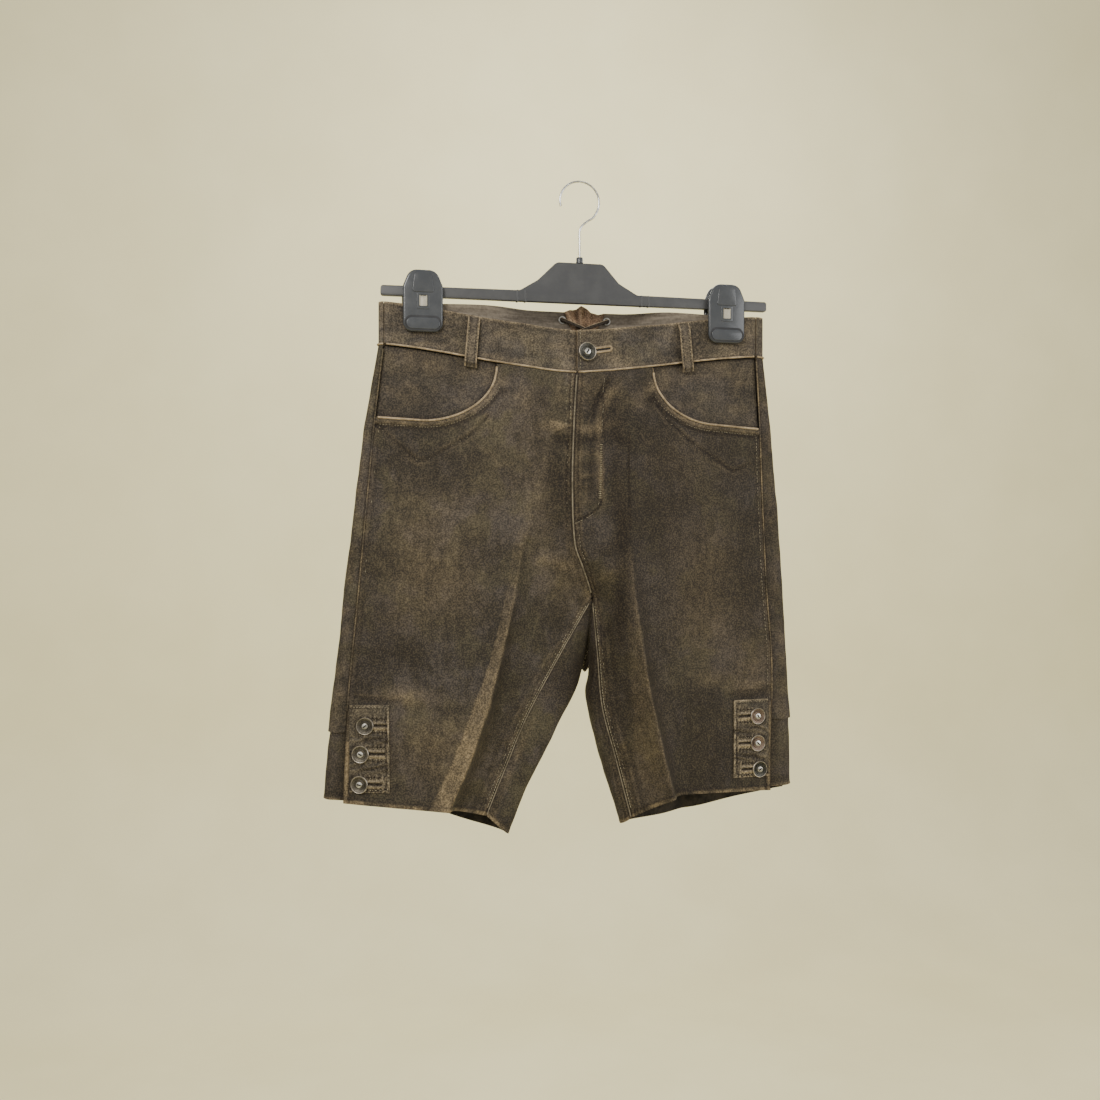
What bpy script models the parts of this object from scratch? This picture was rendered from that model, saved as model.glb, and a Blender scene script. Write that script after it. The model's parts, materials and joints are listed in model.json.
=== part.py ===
"""Short leather breeches (lederhosen) hanging from a plastic clip hanger.

Frame: X runs along the hanger's bar, +X to the wearer's left, the front faces -Y and +Z is up.
The origin is the bearing point of the hook, the top of the inside of its bend.
The tables are in millimetres. "drop" is measured down from the top of the waistband's sides.

Each leather panel is a smooth surface (u, v): u runs from the side seam (0) to the middle seam (1),
v from the waist seam (0) to the hem (1). A row of the tables gives one section round the leg.
"""
import math
from collections import namedtuple

import bmesh
import bpy
from mathutils import Matrix, Vector

MM = 0.001
LEATHER = 1.8            # one layer of split leather
BAND_WALL = 2.2          # the waistband is faced
SEAM_GAP = 0.3           # between neighbouring pieces
BAND_HEIGHT = 43.0
WAIST_Z = -131.6         # the level that drops are measured from, below the hook's bearing point
PINCH = 4.0              # half depth of the waist where the clips close on it
BOW = 28.0               # how much further forward and back the middle of the waist stands
BOW_HALF = 118.0
BOW_MIDDLE = -5.0
V_CROTCH = 0.581
V_VENT = 0.80
CLIP_X = {"right": -164.6, "left": 159.5}
SIDES = {"right": -1, "left": 1}

# ---------------------------------------------------------------- tables of sections

Seam = namedtuple("Seam", "v x y drop")
Front = namedtuple("Front", "v side_x side_y side_drop ridge_x ridge_y ridge_drop "
                            "side_foot side_fall edge_foot edge_fall curve")
Back = namedtuple("Back", "v fold_x fold_r back_y ridge_x ridge_y ridge_drop "
                          "inner_x inner_y inner_drop reach roll")

CENTRE_FRONT = [
    Seam(0.000, -10, -31.5, 72.3),
    Seam(0.168, -14, -36, 124),
    Seam(0.312, -16, -37, 188),
    Seam(0.441, -12, -31, 247),
    Seam(0.512, -2, -23, 271),
    Seam(0.553, 6, -15.5, 289),
    Seam(V_CROTCH, 11.5, -10, 303),
]
SEAT = [
    Seam(0.000, 11, 31.5, 42),
    Seam(0.168, 13, 37, 122),
    Seam(0.312, 14, 39, 200),
    Seam(0.420, 13, 37, 275),
    Seam(0.470, 12, 33, 340),
    Seam(0.512, 10, 25, 383),
    Seam(0.535, 13, 14, 377),
    Seam(0.560, 15, 2, 342),
    Seam(V_CROTCH, 11.5, -10, 303),
]
INSEAM = {
    "right": [
        Seam(V_CROTCH, 11.5, -10, 303),
        Seam(0.688, -25, -13, 364),
        Seam(0.796, -58, -11, 425),
        Seam(0.904, -80, -9.5, 477),
        Seam(1.000, -100, -8, 526.5),
    ],
    "left": [
        Seam(V_CROTCH, 11.5, -10, 303),
        Seam(0.688, 17, -9, 362),
        Seam(0.796, 22.5, -8, 418),
        Seam(0.904, 37, -8, 472),
        Seam(1.000, 54, -8, 536),
    ],
}
FRONT = {
    "right": [
        Front(0.000, -204.0, -2.5, 45, -42, -29, 70, 22, 1.5, 14, 1, 1.6),
        Front(0.168, -213.0, -3.5, 121, -34, -35, 136, 22, 2, 12, 2, 1.5),
        Front(0.312, -219.5, -4.5, 190, -46, -39, 192, 22, 3, 12, 5, 1.2),
        Front(0.441, -225.0, -5.0, 250, -68, -41, 250, 22, 4, 12, 8, 1.05),
        Front(0.512, -228.0, -5.5, 283, -73, -41.5, 282, 22, 4.5, 12, 9, 1.0),
        Front(0.581, -231.0, -6.0, 315, -79, -42.5, 313, 22, 5, 12, 11, 1.0),
        Front(0.688, -236.0, -6.5, 365, -91, -44, 366, 21, 6, 10, 16, 1.0),
        Front(0.796, -240.5, -7.5, 415, -105, -45, 418, 20, 6.5, 9, 20, 0.95),
        Front(0.904, -243.0, -8.0, 465, -122, -45.5, 468, 19, 7, 8, 23, 0.9),
        Front(1.000, -244.5, -8.0, 507.5, -142, -45, 514, 18, 7, 7, 25, 0.9),
    ],
    "left": [
        Front(0.000, 195.0, -2.5, 45, 38, -27, 67, 16, 1.5, 14, 1, 1.6),
        Front(0.168, 199.0, -3.5, 122, 40, -34, 136, 16, 2, 20, 2, 1.5),
        Front(0.312, 201.0, -4.5, 190, 41, -38, 190, 16, 3, 22, 3, 1.2),
        Front(0.441, 203.5, -5.0, 250, 44, -40, 252, 14, 6, 22, 5, 1.1),
        Front(0.512, 205.0, -5.5, 283, 47, -40.5, 283, 13, 8, 20, 7, 1.05),
        Front(0.581, 207.0, -6.0, 315, 51, -41, 314, 12, 10, 19, 12, 1.0),
        Front(0.688, 211.0, -6.5, 365, 59, -43, 367, 11, 16, 19, 18, 1.0),
        Front(0.796, 211.0, -7.5, 415, 69, -45, 419, 10, 20, 19, 22, 0.9),
        Front(0.904, 209.8, -8.0, 465, 80, -45.5, 468, 9.5, 23, 19, 23, 0.85),
        Front(1.000, 209.3, -8.0, 513, 91, -45, 511, 9, 25, 19, 23, 0.85),
    ],
}
BACK = {
    "right": [
        Back(0.000, -210.0, 3.4, 4.0, -100, 11, 43, -28, 30, 42, 22, 0),
        Back(0.168, -223.5, 5.0, 10.0, -98, 33, 122, -26, 37, 122, 22, 0),
        Back(0.312, -233.0, 6.0, 13.0, -96, 40, 195, -26, 40, 200, 22, 0),
        Back(0.420, -239.0, 6.5, 14.0, -97, 42, 252, -24, 39, 274, 22, 0),
        Back(0.470, -242.5, 7.0, 14.5, -98, 42, 282, -22, 36, 320, 22, 0),
        Back(0.512, -245.0, 7.0, 15.0, -99, 42, 310, -15, 32, 352, 20, 1),
        Back(0.535, -246.0, 7.0, 15.0, -100, 42, 325, -7, 27, 366, 18, 3),
        Back(0.560, -247.0, 7.5, 15.0, -101, 42, 338, 1, 19, 380, 14, 7),
        Back(0.581, -248.0, 7.5, 15.0, -102, 42, 348, 7, 11, 386, 11, 11),
        Back(0.688, -253.0, 8.0, 15.5, -110, 43, 385, 0, 0, 401, 9, 17),
        Back(0.796, -259.5, 8.5, 16.0, -122, 43, 425, -19, 1, 436, 8, 16),
        Back(0.904, -265.5, 9.0, 16.0, -137, 42, 476, -47, 1, 490, 7, 14),
        Back(1.000, -268.5, 9.0, 16.0, -152, 40, 525, -74, 1, 549.5, 6, 12),
    ],
    "left": [
        Back(0.000, 205.0, 3.4, 4.0, 105, 11, 43, 42, 29, 42, 18, 0),
        Back(0.168, 214.0, 5.0, 10.0, 103, 33, 122, 44, 37, 122, 20, 0),
        Back(0.312, 221.5, 6.0, 13.0, 100, 40, 195, 46, 40, 200, 20, 0),
        Back(0.420, 225.0, 6.5, 14.0, 100, 42, 252, 44, 39, 274, 20, 0),
        Back(0.470, 227.0, 7.0, 14.5, 100, 42, 282, 42, 36, 320, 20, 0),
        Back(0.512, 228.5, 7.0, 15.0, 100, 42, 310, 36, 32, 352, 20, 1),
        Back(0.535, 229.0, 7.0, 15.0, 101, 42, 325, 29, 27, 366, 18, 3),
        Back(0.560, 230.0, 7.5, 15.0, 101, 42, 338, 20, 19, 380, 14, 7),
        Back(0.581, 231.0, 7.5, 15.0, 102, 42, 348, 12, 11, 385, 11, 11),
        Back(0.688, 234.0, 8.0, 15.5, 105, 43, 387, 3, 1, 403, 9, 17),
        Back(0.796, 237.5, 8.5, 16.0, 110, 43, 428, 9, 1, 432, 7, 15),
        Back(0.904, 240.0, 9.0, 16.0, 117, 42, 479, 23, 1, 485, 7, 14),
        Back(1.000, 242.0, 9.0, 16.0, 124, 40, 538, 43, 1, 544, 6, 12),
    ],
}

# pocket mouths: a quarter of an ellipse from the waist seam, then a nearly level run to the side seam
Pocket = namedtuple("Pocket", "centre_x centre_drop half_width depth side_drop")
POCKET = {
    "right": Pocket(-163, 66, 73, 56, 119),
    "left": Pocket(146, 63, 71, 57, 123),
}
FACING_LAP = 11.0

# ---------------------------------------------------------------- curves and surfaces


def lerp(a, b, t):
    return a + (b - a) * t


def smooth(t):
    t = min(max(t, 0.0), 1.0)
    return t * t * (3 - 2 * t)


def table_at(table, v):
    """The table's row at v, each column run through its rows by a smooth cubic."""
    last = len(table) - 1
    v = min(max(v, table[0].v), table[last].v)
    k = 0
    while k < last - 1 and v > table[k + 1].v:
        k += 1
    a, b = table[k], table[k + 1]
    before = table[k - 1] if k > 0 else a
    after = table[k + 2] if k + 2 <= last else b
    span = b.v - a.v
    t = (v - a.v) / span
    values = [v]
    for p0, p1, p2, p3 in list(zip(before, a, b, after))[1:]:
        slope1 = (p2 - p0) / (b.v - before.v)
        slope2 = (p3 - p1) / (after.v - a.v)
        values.append(
            (2 * t ** 3 - 3 * t ** 2 + 1) * p1 + (t ** 3 - 2 * t ** 2 + t) * span * slope1
            + (3 * t ** 2 - 2 * t ** 3) * p2 + (t ** 3 - t ** 2) * span * slope2)
    return type(a)(*values)


def seam_place(table, v):
    row = table_at(table, v)
    return Vector((row.x, row.y, row.drop))


def bow(x):
    """How far the waist stands from the bar's plane at x."""
    return PINCH + BOW * smooth(1 - abs(x - BOW_MIDDLE) / BOW_HALF)


def b_spline(points, u):
    """A clamped cubic B-spline over the control points, u from 0 to 1."""
    degree = 3
    spans = len(points) - degree
    x = min(max(u, 0.0), 1.0) * spans
    k = min(int(x), spans - 1)

    def knot(i):
        return min(max(i - degree, 0), spans)

    d = [points[k + j].copy() for j in range(degree + 1)]
    for r in range(1, degree + 1):
        for j in range(degree, r - 1, -1):
            low, high = knot(j + k), knot(j + 1 + k + degree - r)
            d[j] = d[j - 1].lerp(d[j], (x - low) / (high - low))
    return d[degree]


def front_edge(side, v):
    return seam_place(CENTRE_FRONT, v) if v <= V_CROTCH else seam_place(INSEAM[side], v)


def back_edge(side, v):
    return seam_place(SEAT, v) if v <= V_CROTCH else seam_place(INSEAM[side], v)


def front_controls(side, v):
    """Control points of a front panel's section, from the side seam over the pressed crease."""
    row = table_at(FRONT[side], v)
    out = SIDES[side]
    seam = Vector((row.side_x, row.side_y, row.side_drop))
    ridge = Vector((row.ridge_x, row.ridge_y, row.ridge_drop))
    edge = front_edge(side, v)
    outer_foot = ridge + Vector((out * row.side_foot, row.side_fall, 0))
    inner_foot = ridge + Vector((-out * row.edge_foot, row.edge_fall, 0))
    outer_foot.z = lerp(ridge.z, seam.z, row.side_foot / abs(ridge.x - seam.x))
    inner_foot.z = lerp(ridge.z, edge.z, min(row.edge_foot / abs(ridge.x - edge.x), 0.7))
    points = [seam]
    for t in (0.13, 0.45, 0.76):
        x = lerp(seam.x, outer_foot.x, t)
        flare = t ** row.curve
        y = lerp(seam.y, outer_foot.y, flare)
        drop = lerp(seam.z, outer_foot.z, t ** (1 + (row.curve - 1) * 0.8))
        hold = 1 - smooth(v / 0.168)
        y = lerp(y, -bow(x), hold)
        points.append(Vector((x, y, drop)))
    points += [outer_foot, ridge.lerp(outer_foot, 0.25), ridge, ridge.lerp(inner_foot, 0.3),
               inner_foot, inner_foot.lerp(edge, 0.55), edge]
    return points


def back_controls(side, v):
    """Control points of a back panel's section: round the outer fold, across the back,
    and round the inner fold to the middle seam."""
    row = table_at(BACK[side], v)
    front = table_at(FRONT[side], v)
    out = SIDES[side]
    seam = Vector((front.side_x, front.side_y, front.side_drop))
    edge = back_edge(side, v)
    r = row.fold_r
    near = Vector((lerp(seam.x, row.fold_x, 0.62), lerp(seam.y, -r, 0.55), seam.z + 0.5))
    fold = Vector((row.fold_x, 0, seam.z + 1 - 2.5 * v))
    behind = Vector((row.fold_x - out * r * 0.7, r * 1.15, seam.z + 1.5 - 2.5 * v))
    ridge = Vector((row.ridge_x, row.ridge_y, row.ridge_drop))
    first = behind.lerp(ridge, 0.22)
    first.y = row.back_y
    second = behind.lerp(ridge, 0.6)
    second.y = lerp(row.back_y, row.ridge_y, 0.55)
    hold = 1 - smooth(v / 0.168)
    for point in (first, second, ridge):
        point.y = lerp(point.y, bow(point.x), hold)
    crease = smooth((v - 0.35) / 0.5)
    inner = Vector((row.inner_x, row.inner_y, row.inner_drop))
    turn_back = inner + Vector((out * row.reach, row.roll, 0))
    turn_back.z = lerp(inner.z, ridge.z, 0.12)
    outer_foot = ridge.lerp(second, 0.28) + Vector((0, -3 - 7 * crease, 0))
    inner_foot = ridge.lerp(turn_back, 0.28) + Vector((0, -3 - 7 * crease, 0))
    if v < 0.25:
        outer_foot.y = lerp(outer_foot.y, bow(outer_foot.x), hold)
        inner_foot.y = lerp(inner_foot.y, bow(inner_foot.x), hold)
    third = inner_foot.lerp(turn_back, 0.55)
    leg = smooth((v - V_CROTCH) / 0.1)
    turn_front = inner.lerp(edge, 0.45).lerp(inner + Vector((out * row.reach, -row.roll * 0.7, -4)), leg)
    return [seam, near, fold, behind, first, second, outer_foot, ridge, inner_foot, third,
            turn_back, inner, turn_front, edge]


CONTROLS = {"front": front_controls, "back": back_controls}


class Panel:
    """One of the four main surfaces, such as the front of the right leg."""

    def __init__(self, face, side):
        self.face, self.side = face, side
        self.turn = SIDES[side] * (1 if face == "front" else -1)
        self.rows = {}

    def controls(self, v):
        key = round(v, 6)
        if key not in self.rows:
            self.rows[key] = CONTROLS[self.face](self.side, v)
        return self.rows[key]

    def at(self, u, v):
        return b_spline(self.controls(v), u)

    def own_normal(self, u, v):
        """Outward normal in the tables' axes, with the drop turned to Z."""
        du, dv = 0.004, 0.004
        across = self.at(min(u + du, 1), v) - self.at(max(u - du, 0), v)
        down = self.at(u, min(v + dv, 1)) - self.at(u, max(v - dv, 0))
        if u > 0.999 and abs(v - V_CROTCH) < dv:
            down = self.at(u - du, v + dv) - self.at(u - du, v - dv)
        normal = Vector((across.x, across.y, -across.z)).cross(Vector((down.x, down.y, -down.z)))
        return (normal * self.turn).normalized()

    def partner(self, u, v):
        """The panel sewn to this one along the edge that the point lies on."""
        other = "back" if self.face == "front" else "front"
        if u < 0.001:
            return PANELS[other, self.side]
        if u > 0.999:
            if v > V_CROTCH:
                return PANELS[other, self.side]
            return PANELS[self.face, "left" if self.side == "right" else "right"]
        return None

    def normal(self, u, v):
        mate = self.partner(u, v)
        own = self.own_normal(u, v)
        if mate is None:
            return own
        if u > 0.999 and abs(v - V_CROTCH) < 1e-4:
            total = sum((p.own_normal(1.0, v) for p in PANELS.values()), Vector())
            return total.normalized()
        return (own + mate.own_normal(u, v)).normalized()

    def point(self, u, v, lift=0.0):
        """The point at (u, v), moved out by lift millimetres, in metres."""
        spot = self.at(u, v)
        base = Vector((spot.x, spot.y, WAIST_Z - spot.z))
        return (base + self.normal(u, v) * lift) * MM


PANELS = {}
for _face in ("front", "back"):
    for _side in SIDES:
        PANELS[_face, _side] = Panel(_face, _side)


def locate(panel, x, drop):
    """The (u, v) of a panel whose point has this x and drop."""
    best = min(((panel.at(i / 24, j / 24), i / 24, j / 24) for i in range(25) for j in range(25)),
               key=lambda item: (item[0].x - x) ** 2 + (item[0].z - drop) ** 2)
    u, v = best[1], best[2]
    for _ in range(12):
        step = 0.002
        here = panel.at(u, v)
        by_u = (panel.at(u + step, v) - panel.at(u - step, v)) / (2 * step)
        by_v = (panel.at(u, v + step) - panel.at(u, v - step)) / (2 * step)
        det = by_u.x * by_v.z - by_v.x * by_u.z
        dx, dz = x - here.x, drop - here.z
        u += (dx * by_v.z - dz * by_v.x) / det
        v += (dz * by_u.x - dx * by_u.z) / det
        u, v = min(max(u, 0.003), 0.997), min(max(v, 0.003), 0.997)
    return u, v


def spaced(start, end, count):
    return [lerp(start, end, i / (count - 1)) for i in range(count)]


# ---------------------------------------------------------------- solids

COLLECTION = None
CUTTERS = None


def material(name, colour, roughness, metallic=0.0):
    mat = bpy.data.materials.get(name) or bpy.data.materials.new(name)
    mat.use_nodes = True
    shader = mat.node_tree.nodes["Principled BSDF"]
    shader.inputs["Base Color"].default_value = (*colour, 1.0)
    shader.inputs["Roughness"].default_value = roughness
    shader.inputs["Metallic"].default_value = metallic
    return mat


COLOURS = {
    "dark_leather": ((0.070, 0.052, 0.034), 0.75, 0.0),
    "pale_edge": ((0.290, 0.190, 0.100), 0.70, 0.0),
    "rust_suede": ((0.200, 0.075, 0.028), 0.85, 0.0),
    "black_plastic": ((0.028, 0.029, 0.032), 0.38, 0.0),
    "spring_steel": ((0.60, 0.60, 0.58), 0.30, 1.0),
    "horn_button": ((0.060, 0.056, 0.050), 0.45, 0.3),
    "nickel": ((0.58, 0.56, 0.52), 0.35, 1.0),
}


def finish(obj, look):
    obj.data.materials.append(material(obj.name + "_" + look, *COLOURS[look]))
    COLLECTION.objects.link(obj)
    return obj


def wall(name, look, outer, inner, keep=None):
    """A closed wall between two grids of points; keep(i, j) leaves cells out for notches."""
    mesh = bpy.data.meshes.new(name)
    bm = bmesh.new()
    rows, columns = len(outer), len(outer[0])
    cells = [(i, j) for i in range(rows - 1) for j in range(columns - 1) if keep is None or keep(i, j)]
    layers = []
    for grid in (outer, inner):
        layers.append({})
        for i, j in cells:
            for corner in ((i, j), (i + 1, j), (i + 1, j + 1), (i, j + 1)):
                if corner not in layers[-1]:
                    layers[-1][corner] = bm.verts.new(grid[corner[0]][corner[1]])
    kept = set(cells)
    for i, j in cells:
        loop = [(i, j), (i + 1, j), (i + 1, j + 1), (i, j + 1)]
        bm.faces.new([layers[0][c] for c in loop])
        bm.faces.new([layers[1][c] for c in reversed(loop)])
        for a, b, beyond in zip(loop, loop[1:] + loop[:1], ((i, j - 1), (i + 1, j), (i, j + 1), (i - 1, j))):
            if beyond not in kept:
                bm.faces.new([layers[0][b], layers[0][a], layers[1][a], layers[1][b]])
    bmesh.ops.recalc_face_normals(bm, faces=bm.faces)
    bm.to_mesh(mesh)
    bm.free()
    mesh.shade_smooth()
    mesh.set_sharp_from_angle(angle=math.radians(50))
    return finish(bpy.data.objects.new(name, mesh), look)


def pull_in(line, gap_start, gap_end):
    """Moves the ends of a line of points inwards, to leave the seams' gaps."""
    if gap_start:
        line[0] = line[0] + (line[1] - line[0]).normalized() * gap_start * MM
    if gap_end:
        line[-1] = line[-1] + (line[-2] - line[-1]).normalized() * gap_end * MM


def panel_wall(name, look, uv_grid, lift=0.0, thick=LEATHER, keep=None, seams=(1, 1)):
    """A wall over a grid of (panel, u, v) or (panel, u, v, lift), outer face at lift."""
    outer, inner = [], []
    for line in uv_grid:
        out_line, in_line = [], []
        for panel, u, v, *extra in line:
            rise = lift + (extra[0] if extra else 0.0)
            out_line.append(panel.point(u, v, rise))
            in_line.append(panel.point(u, v, rise - thick))
        for points in (out_line, in_line):
            pull_in(points, SEAM_GAP / 2 * seams[0], SEAM_GAP / 2 * seams[1])
        outer.append(out_line)
        inner.append(in_line)
    return wall(name, look, outer, inner, keep)


def tube(name, look, path, radius, sides_level=1):
    """A cord or wire along a list of points in metres."""
    curve = bpy.data.curves.new(name, "CURVE")
    curve.dimensions = "3D"
    curve.bevel_depth = radius * MM
    curve.bevel_resolution = sides_level
    curve.use_fill_caps = True
    spline = curve.splines.new("POLY")
    spline.points.add(len(path) - 1)
    for point, spot in zip(spline.points, path):
        point.co = (*spot, 1.0)
    return finish(bpy.data.objects.new(name, curve), look)


def plate(name, look, outlines, thickness, centre=(0, 0, 0), plane="XZ"):
    """A flat piece from closed outlines in mm (later outlines are holes), thick along the other axis."""
    curve = bpy.data.curves.new(name, "CURVE")
    curve.dimensions = "2D"
    curve.fill_mode = "BOTH"
    curve.extrude = thickness / 2 * MM
    for outline in outlines:
        spline = curve.splines.new("POLY")
        spline.points.add(len(outline) - 1)
        spline.use_cyclic_u = True
        for point, (a, b) in zip(spline.points, outline):
            point.co = (a * MM, b * MM, 0, 1)
    obj = bpy.data.objects.new(name, curve)
    turn = Matrix.Rotation(math.radians(90), 4, "X")
    if plane == "YZ":
        turn = Matrix.Rotation(math.radians(90), 4, "Z") @ turn
    obj.matrix_world = Matrix.Translation(Vector(centre) * MM) @ turn
    return finish(obj, look)


def rounded(corners, steps=4):
    """A closed outline of (x, y, radius) corners with its corners turned into arcs."""
    outline = []
    count = len(corners)
    for i, (x, y, radius) in enumerate(corners):
        here = Vector((x, y))
        to_last = (Vector(corners[i - 1][:2]) - here).normalized()
        to_next = (Vector(corners[(i + 1) % count][:2]) - here).normalized()
        if radius <= 0:
            outline.append((x, y))
            continue
        half = to_last.angle(to_next) / 2
        reach = radius / math.tan(half)
        middle = here + (to_last + to_next).normalized() * (radius / math.sin(half))
        start, end = here + to_last * reach - middle, here + to_next * reach - middle
        for k in range(steps + 1):
            arm = start.lerp(end, k / steps).normalized() * radius
            outline.append(tuple(middle + arm))
    return outline


def turned(name, look, profile, centre, axis, steps=12):
    """A closed turned piece: (radius, height) points in mm, spun about the axis."""
    mesh = bpy.data.meshes.new(name)
    bm = bmesh.new()
    rings = []
    for radius, height in profile:
        if radius == 0:
            rings.append([bm.verts.new((0, 0, height * MM))])
            continue
        rings.append([bm.verts.new((radius * MM * math.cos(2 * math.pi * k / steps),
                                    radius * MM * math.sin(2 * math.pi * k / steps), height * MM))
                      for k in range(steps)])
    closed = profile[0][0] != 0
    pairs = list(zip(rings, rings[1:])) + ([(rings[-1], rings[0])] if closed else [])
    for low, high in pairs:
        for k in range(steps):
            n = (k + 1) % steps
            if len(low) == 1:
                bm.faces.new((low[0], high[n], high[k]))
            elif len(high) == 1:
                bm.faces.new((low[k], low[n], high[0]))
            else:
                bm.faces.new((low[k], low[n], high[n], high[k]))
    bmesh.ops.recalc_face_normals(bm, faces=bm.faces)
    bm.to_mesh(mesh)
    bm.free()
    mesh.shade_smooth()
    mesh.set_sharp_from_angle(angle=math.radians(40))
    obj = bpy.data.objects.new(name, mesh)
    obj.matrix_world = Matrix.Translation(centre) @ axis.to_track_quat("Z", "Y").to_matrix().to_4x4()
    return finish(obj, look)


# ---------------------------------------------------------------- leather panels

V_STEPS = spaced(0, V_CROTCH, 12) + spaced(V_CROTCH, 1, 9)[1:]
FRONT_U = spaced(0, 1, 17)
BACK_U = spaced(0, 1, 22)
VENT_COLUMNS = 4          # columns of the back panel that the vent's notch takes
TUCK = LEATHER + SEAM_GAP
FACING_SINK = 0.7         # how much deeper than the tuck the pocket's facing lies


def mouth_drop(side, x, grow=0.0):
    """How far down the pocket's mouth lies at x, or None beyond its inner end."""
    pocket = POCKET[side]
    across = (x - pocket.centre_x) * -SIDES[side]
    if across <= 0:
        side_x = FRONT[side][1].side_x
        run = min(1.0, (x - pocket.centre_x) / (side_x - pocket.centre_x))
        return lerp(pocket.centre_drop + pocket.depth, pocket.side_drop, run) + grow
    reach = across / (pocket.half_width + grow)
    if reach >= 1:
        return None
    return pocket.centre_drop + (pocket.depth + grow) * math.sqrt(1 - reach * reach)


def mouth_v(panel, u, grow=0.0):
    """The v at which a panel's column meets the pocket's mouth, 0 beyond it."""
    low, high = 0.0, 0.3
    for _ in range(24):
        mid = (low + high) / 2
        spot = panel.at(u, mid)
        limit = mouth_drop(panel.side, spot.x, grow)
        if limit is None or spot.z > limit:
            high = mid
        else:
            low = mid
    return 0.0 if low < 1e-4 else low


def mouth_end(panel, grow=0.0):
    """The u at which the mouth reaches the waist seam."""
    low, high = 0.2, 0.6
    for _ in range(24):
        mid = (low + high) / 2
        if mouth_v(panel, mid, grow) > 0:
            low = mid
        else:
            high = mid
    return low


def front_columns(panel):
    """The columns' u, closer together where the pocket's mouth climbs steeply."""
    end = mouth_end(panel)
    left = [end * t for t in (0, 0.2, 0.42, 0.62, 0.78, 0.90, 0.965, 1.0)]
    return left + [u for u in FRONT_U if u > end + 0.03]


def build_front(side):
    panel = PANELS["front", side]
    columns = front_columns(panel)
    tops = [mouth_v(panel, u) for u in columns]
    rows = [[(panel, u, lerp(top, 1.0, v)) for u, top in zip(columns, tops)] for v in V_STEPS]
    return panel_wall(f"front_{side}_panel", "dark_leather", rows)


def build_back(side):
    panel = PANELS["back", side]
    rows = [[(panel, u, v) for u in BACK_U] for v in V_STEPS]
    vent_row = min(i for i, v in enumerate(V_STEPS) if v >= V_VENT)

    def keep(i, j):
        return not (i >= vent_row and j < VENT_COLUMNS)

    return panel_wall(f"back_{side}_panel", "dark_leather", rows, keep=keep)


def build_facing(side):
    """The leather behind the pocket's mouth, tucked under the front panel."""
    panel = PANELS["front", side]
    end = mouth_end(panel, FACING_LAP)
    columns = [end * t for t in (0.02, 0.13, 0.26, 0.39, 0.50, 0.60, 0.69, 0.77, 0.84, 0.905, 0.97)]
    depths = [max(mouth_v(panel, u, FACING_LAP), 0.01) for u in columns]
    rows = [[(panel, u, depth * t) for u, depth in zip(columns, depths)]
            for t in (0.02, 0.25, 0.5, 0.75, 1)]
    return panel_wall(f"pocket_facing_{side}", "dark_leather", rows, lift=-TUCK - FACING_SINK,
                      thick=1.4)


def build_underlap(side):
    """The vent's under layer: tucked behind the front panel, round the fold, under the back panel."""
    front, back = PANELS["front", side], PANELS["back", side]
    tucked = [(front, u) for u in (0.30, 0.22, 0.15, 0.09, 0.04)]
    shown = [(back, u) for u in (0.0, 0.045, 0.09, 0.14, 0.185, 0.21)]
    rows = []
    for v in spaced(V_VENT - 0.035, 0.992, 6):
        rows.append([(panel, u, v) for panel, u in tucked + shown])
    return panel_wall(f"vent_underlap_{side}", "dark_leather", rows, lift=-TUCK, thick=1.4, seams=(0, 0))


# ---------------------------------------------------------------- waistband


class Band:
    """A half of the waistband: the panel's waist edge (s from 0 at the side seam), raised straight up."""

    def __init__(self, face, side, top_end=1.0):
        self.panel = PANELS[face, side]
        self.face, self.side, self.top_end = face, side, top_end

    def point(self, s, h, lift=0.0):
        low = self.panel.point(s, 0.0, lift)
        high = self.panel.point(s * self.top_end, 0.0, lift)
        up = Vector((0, 0, BAND_HEIGHT * h * MM))
        spot = low.lerp(high, h)
        spot.z = low.z
        return spot + up


SLIT = {"right": 0.967, "left": 0.949}
BANDS = {}
for _side in SIDES:
    BANDS["front", _side] = Band("front", _side)
    BANDS["back", _side] = Band("back", _side, SLIT[_side])
BAND_LEVELS = (0.0, 0.5, 1.0)
FOOT_GAP = 0.4            # between the waistband's lower edge and the panels


def band_wall(name, stations):
    """A waistband piece over stations of (band, s, lift)."""
    outer, inner = [], []
    for h in BAND_LEVELS:
        line = [band.point(s, h, lift) for band, s, lift in stations]
        back = [band.point(s, h, lift - BAND_WALL) for band, s, lift in stations]
        for points in (line, back):
            pull_in(points, SEAM_GAP / 2, SEAM_GAP / 2)
            if h == 0:
                points[:] = [p + Vector((0, 0, FOOT_GAP * MM)) for p in points]
        outer.append(line)
        inner.append(back)
    return wall(name, "dark_leather", outer, inner)


UNDER = -(BAND_WALL + SEAM_GAP)
LAP_END = 0.74            # how far the right front band runs on behind the left one


def build_bands():
    right, left = BANDS["front", "right"], BANDS["front", "left"]
    lapped = [(right, s, 0.0) for s in FRONT_U[:-2] + [0.93]] + [(right, 0.97, -1.0), (right, 0.994, UNDER)]
    lapped += [(left, s, UNDER) for s in (0.98, 0.92, 0.86, 0.80, LAP_END)]
    pieces = {"band_front_right": band_wall("band_front_right", lapped)}
    pieces["band_front_left"] = band_wall("band_front_left", [(left, s, 0.0) for s in FRONT_U])
    for side in SIDES:
        band = BANDS["back", side]
        name = f"band_back_{side}"
        pieces[name] = band_wall(name, [(band, s, 0.0) for s in BACK_U])
    return pieces


# ---------------------------------------------------------------- cutters


def cutter(obj):
    """Turns an object into a hidden guide that only cuts."""
    COLLECTION.objects.unlink(obj)
    CUTTERS.objects.link(obj)
    obj.hide_render = True
    obj.display_type = "WIRE"
    return obj


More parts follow.
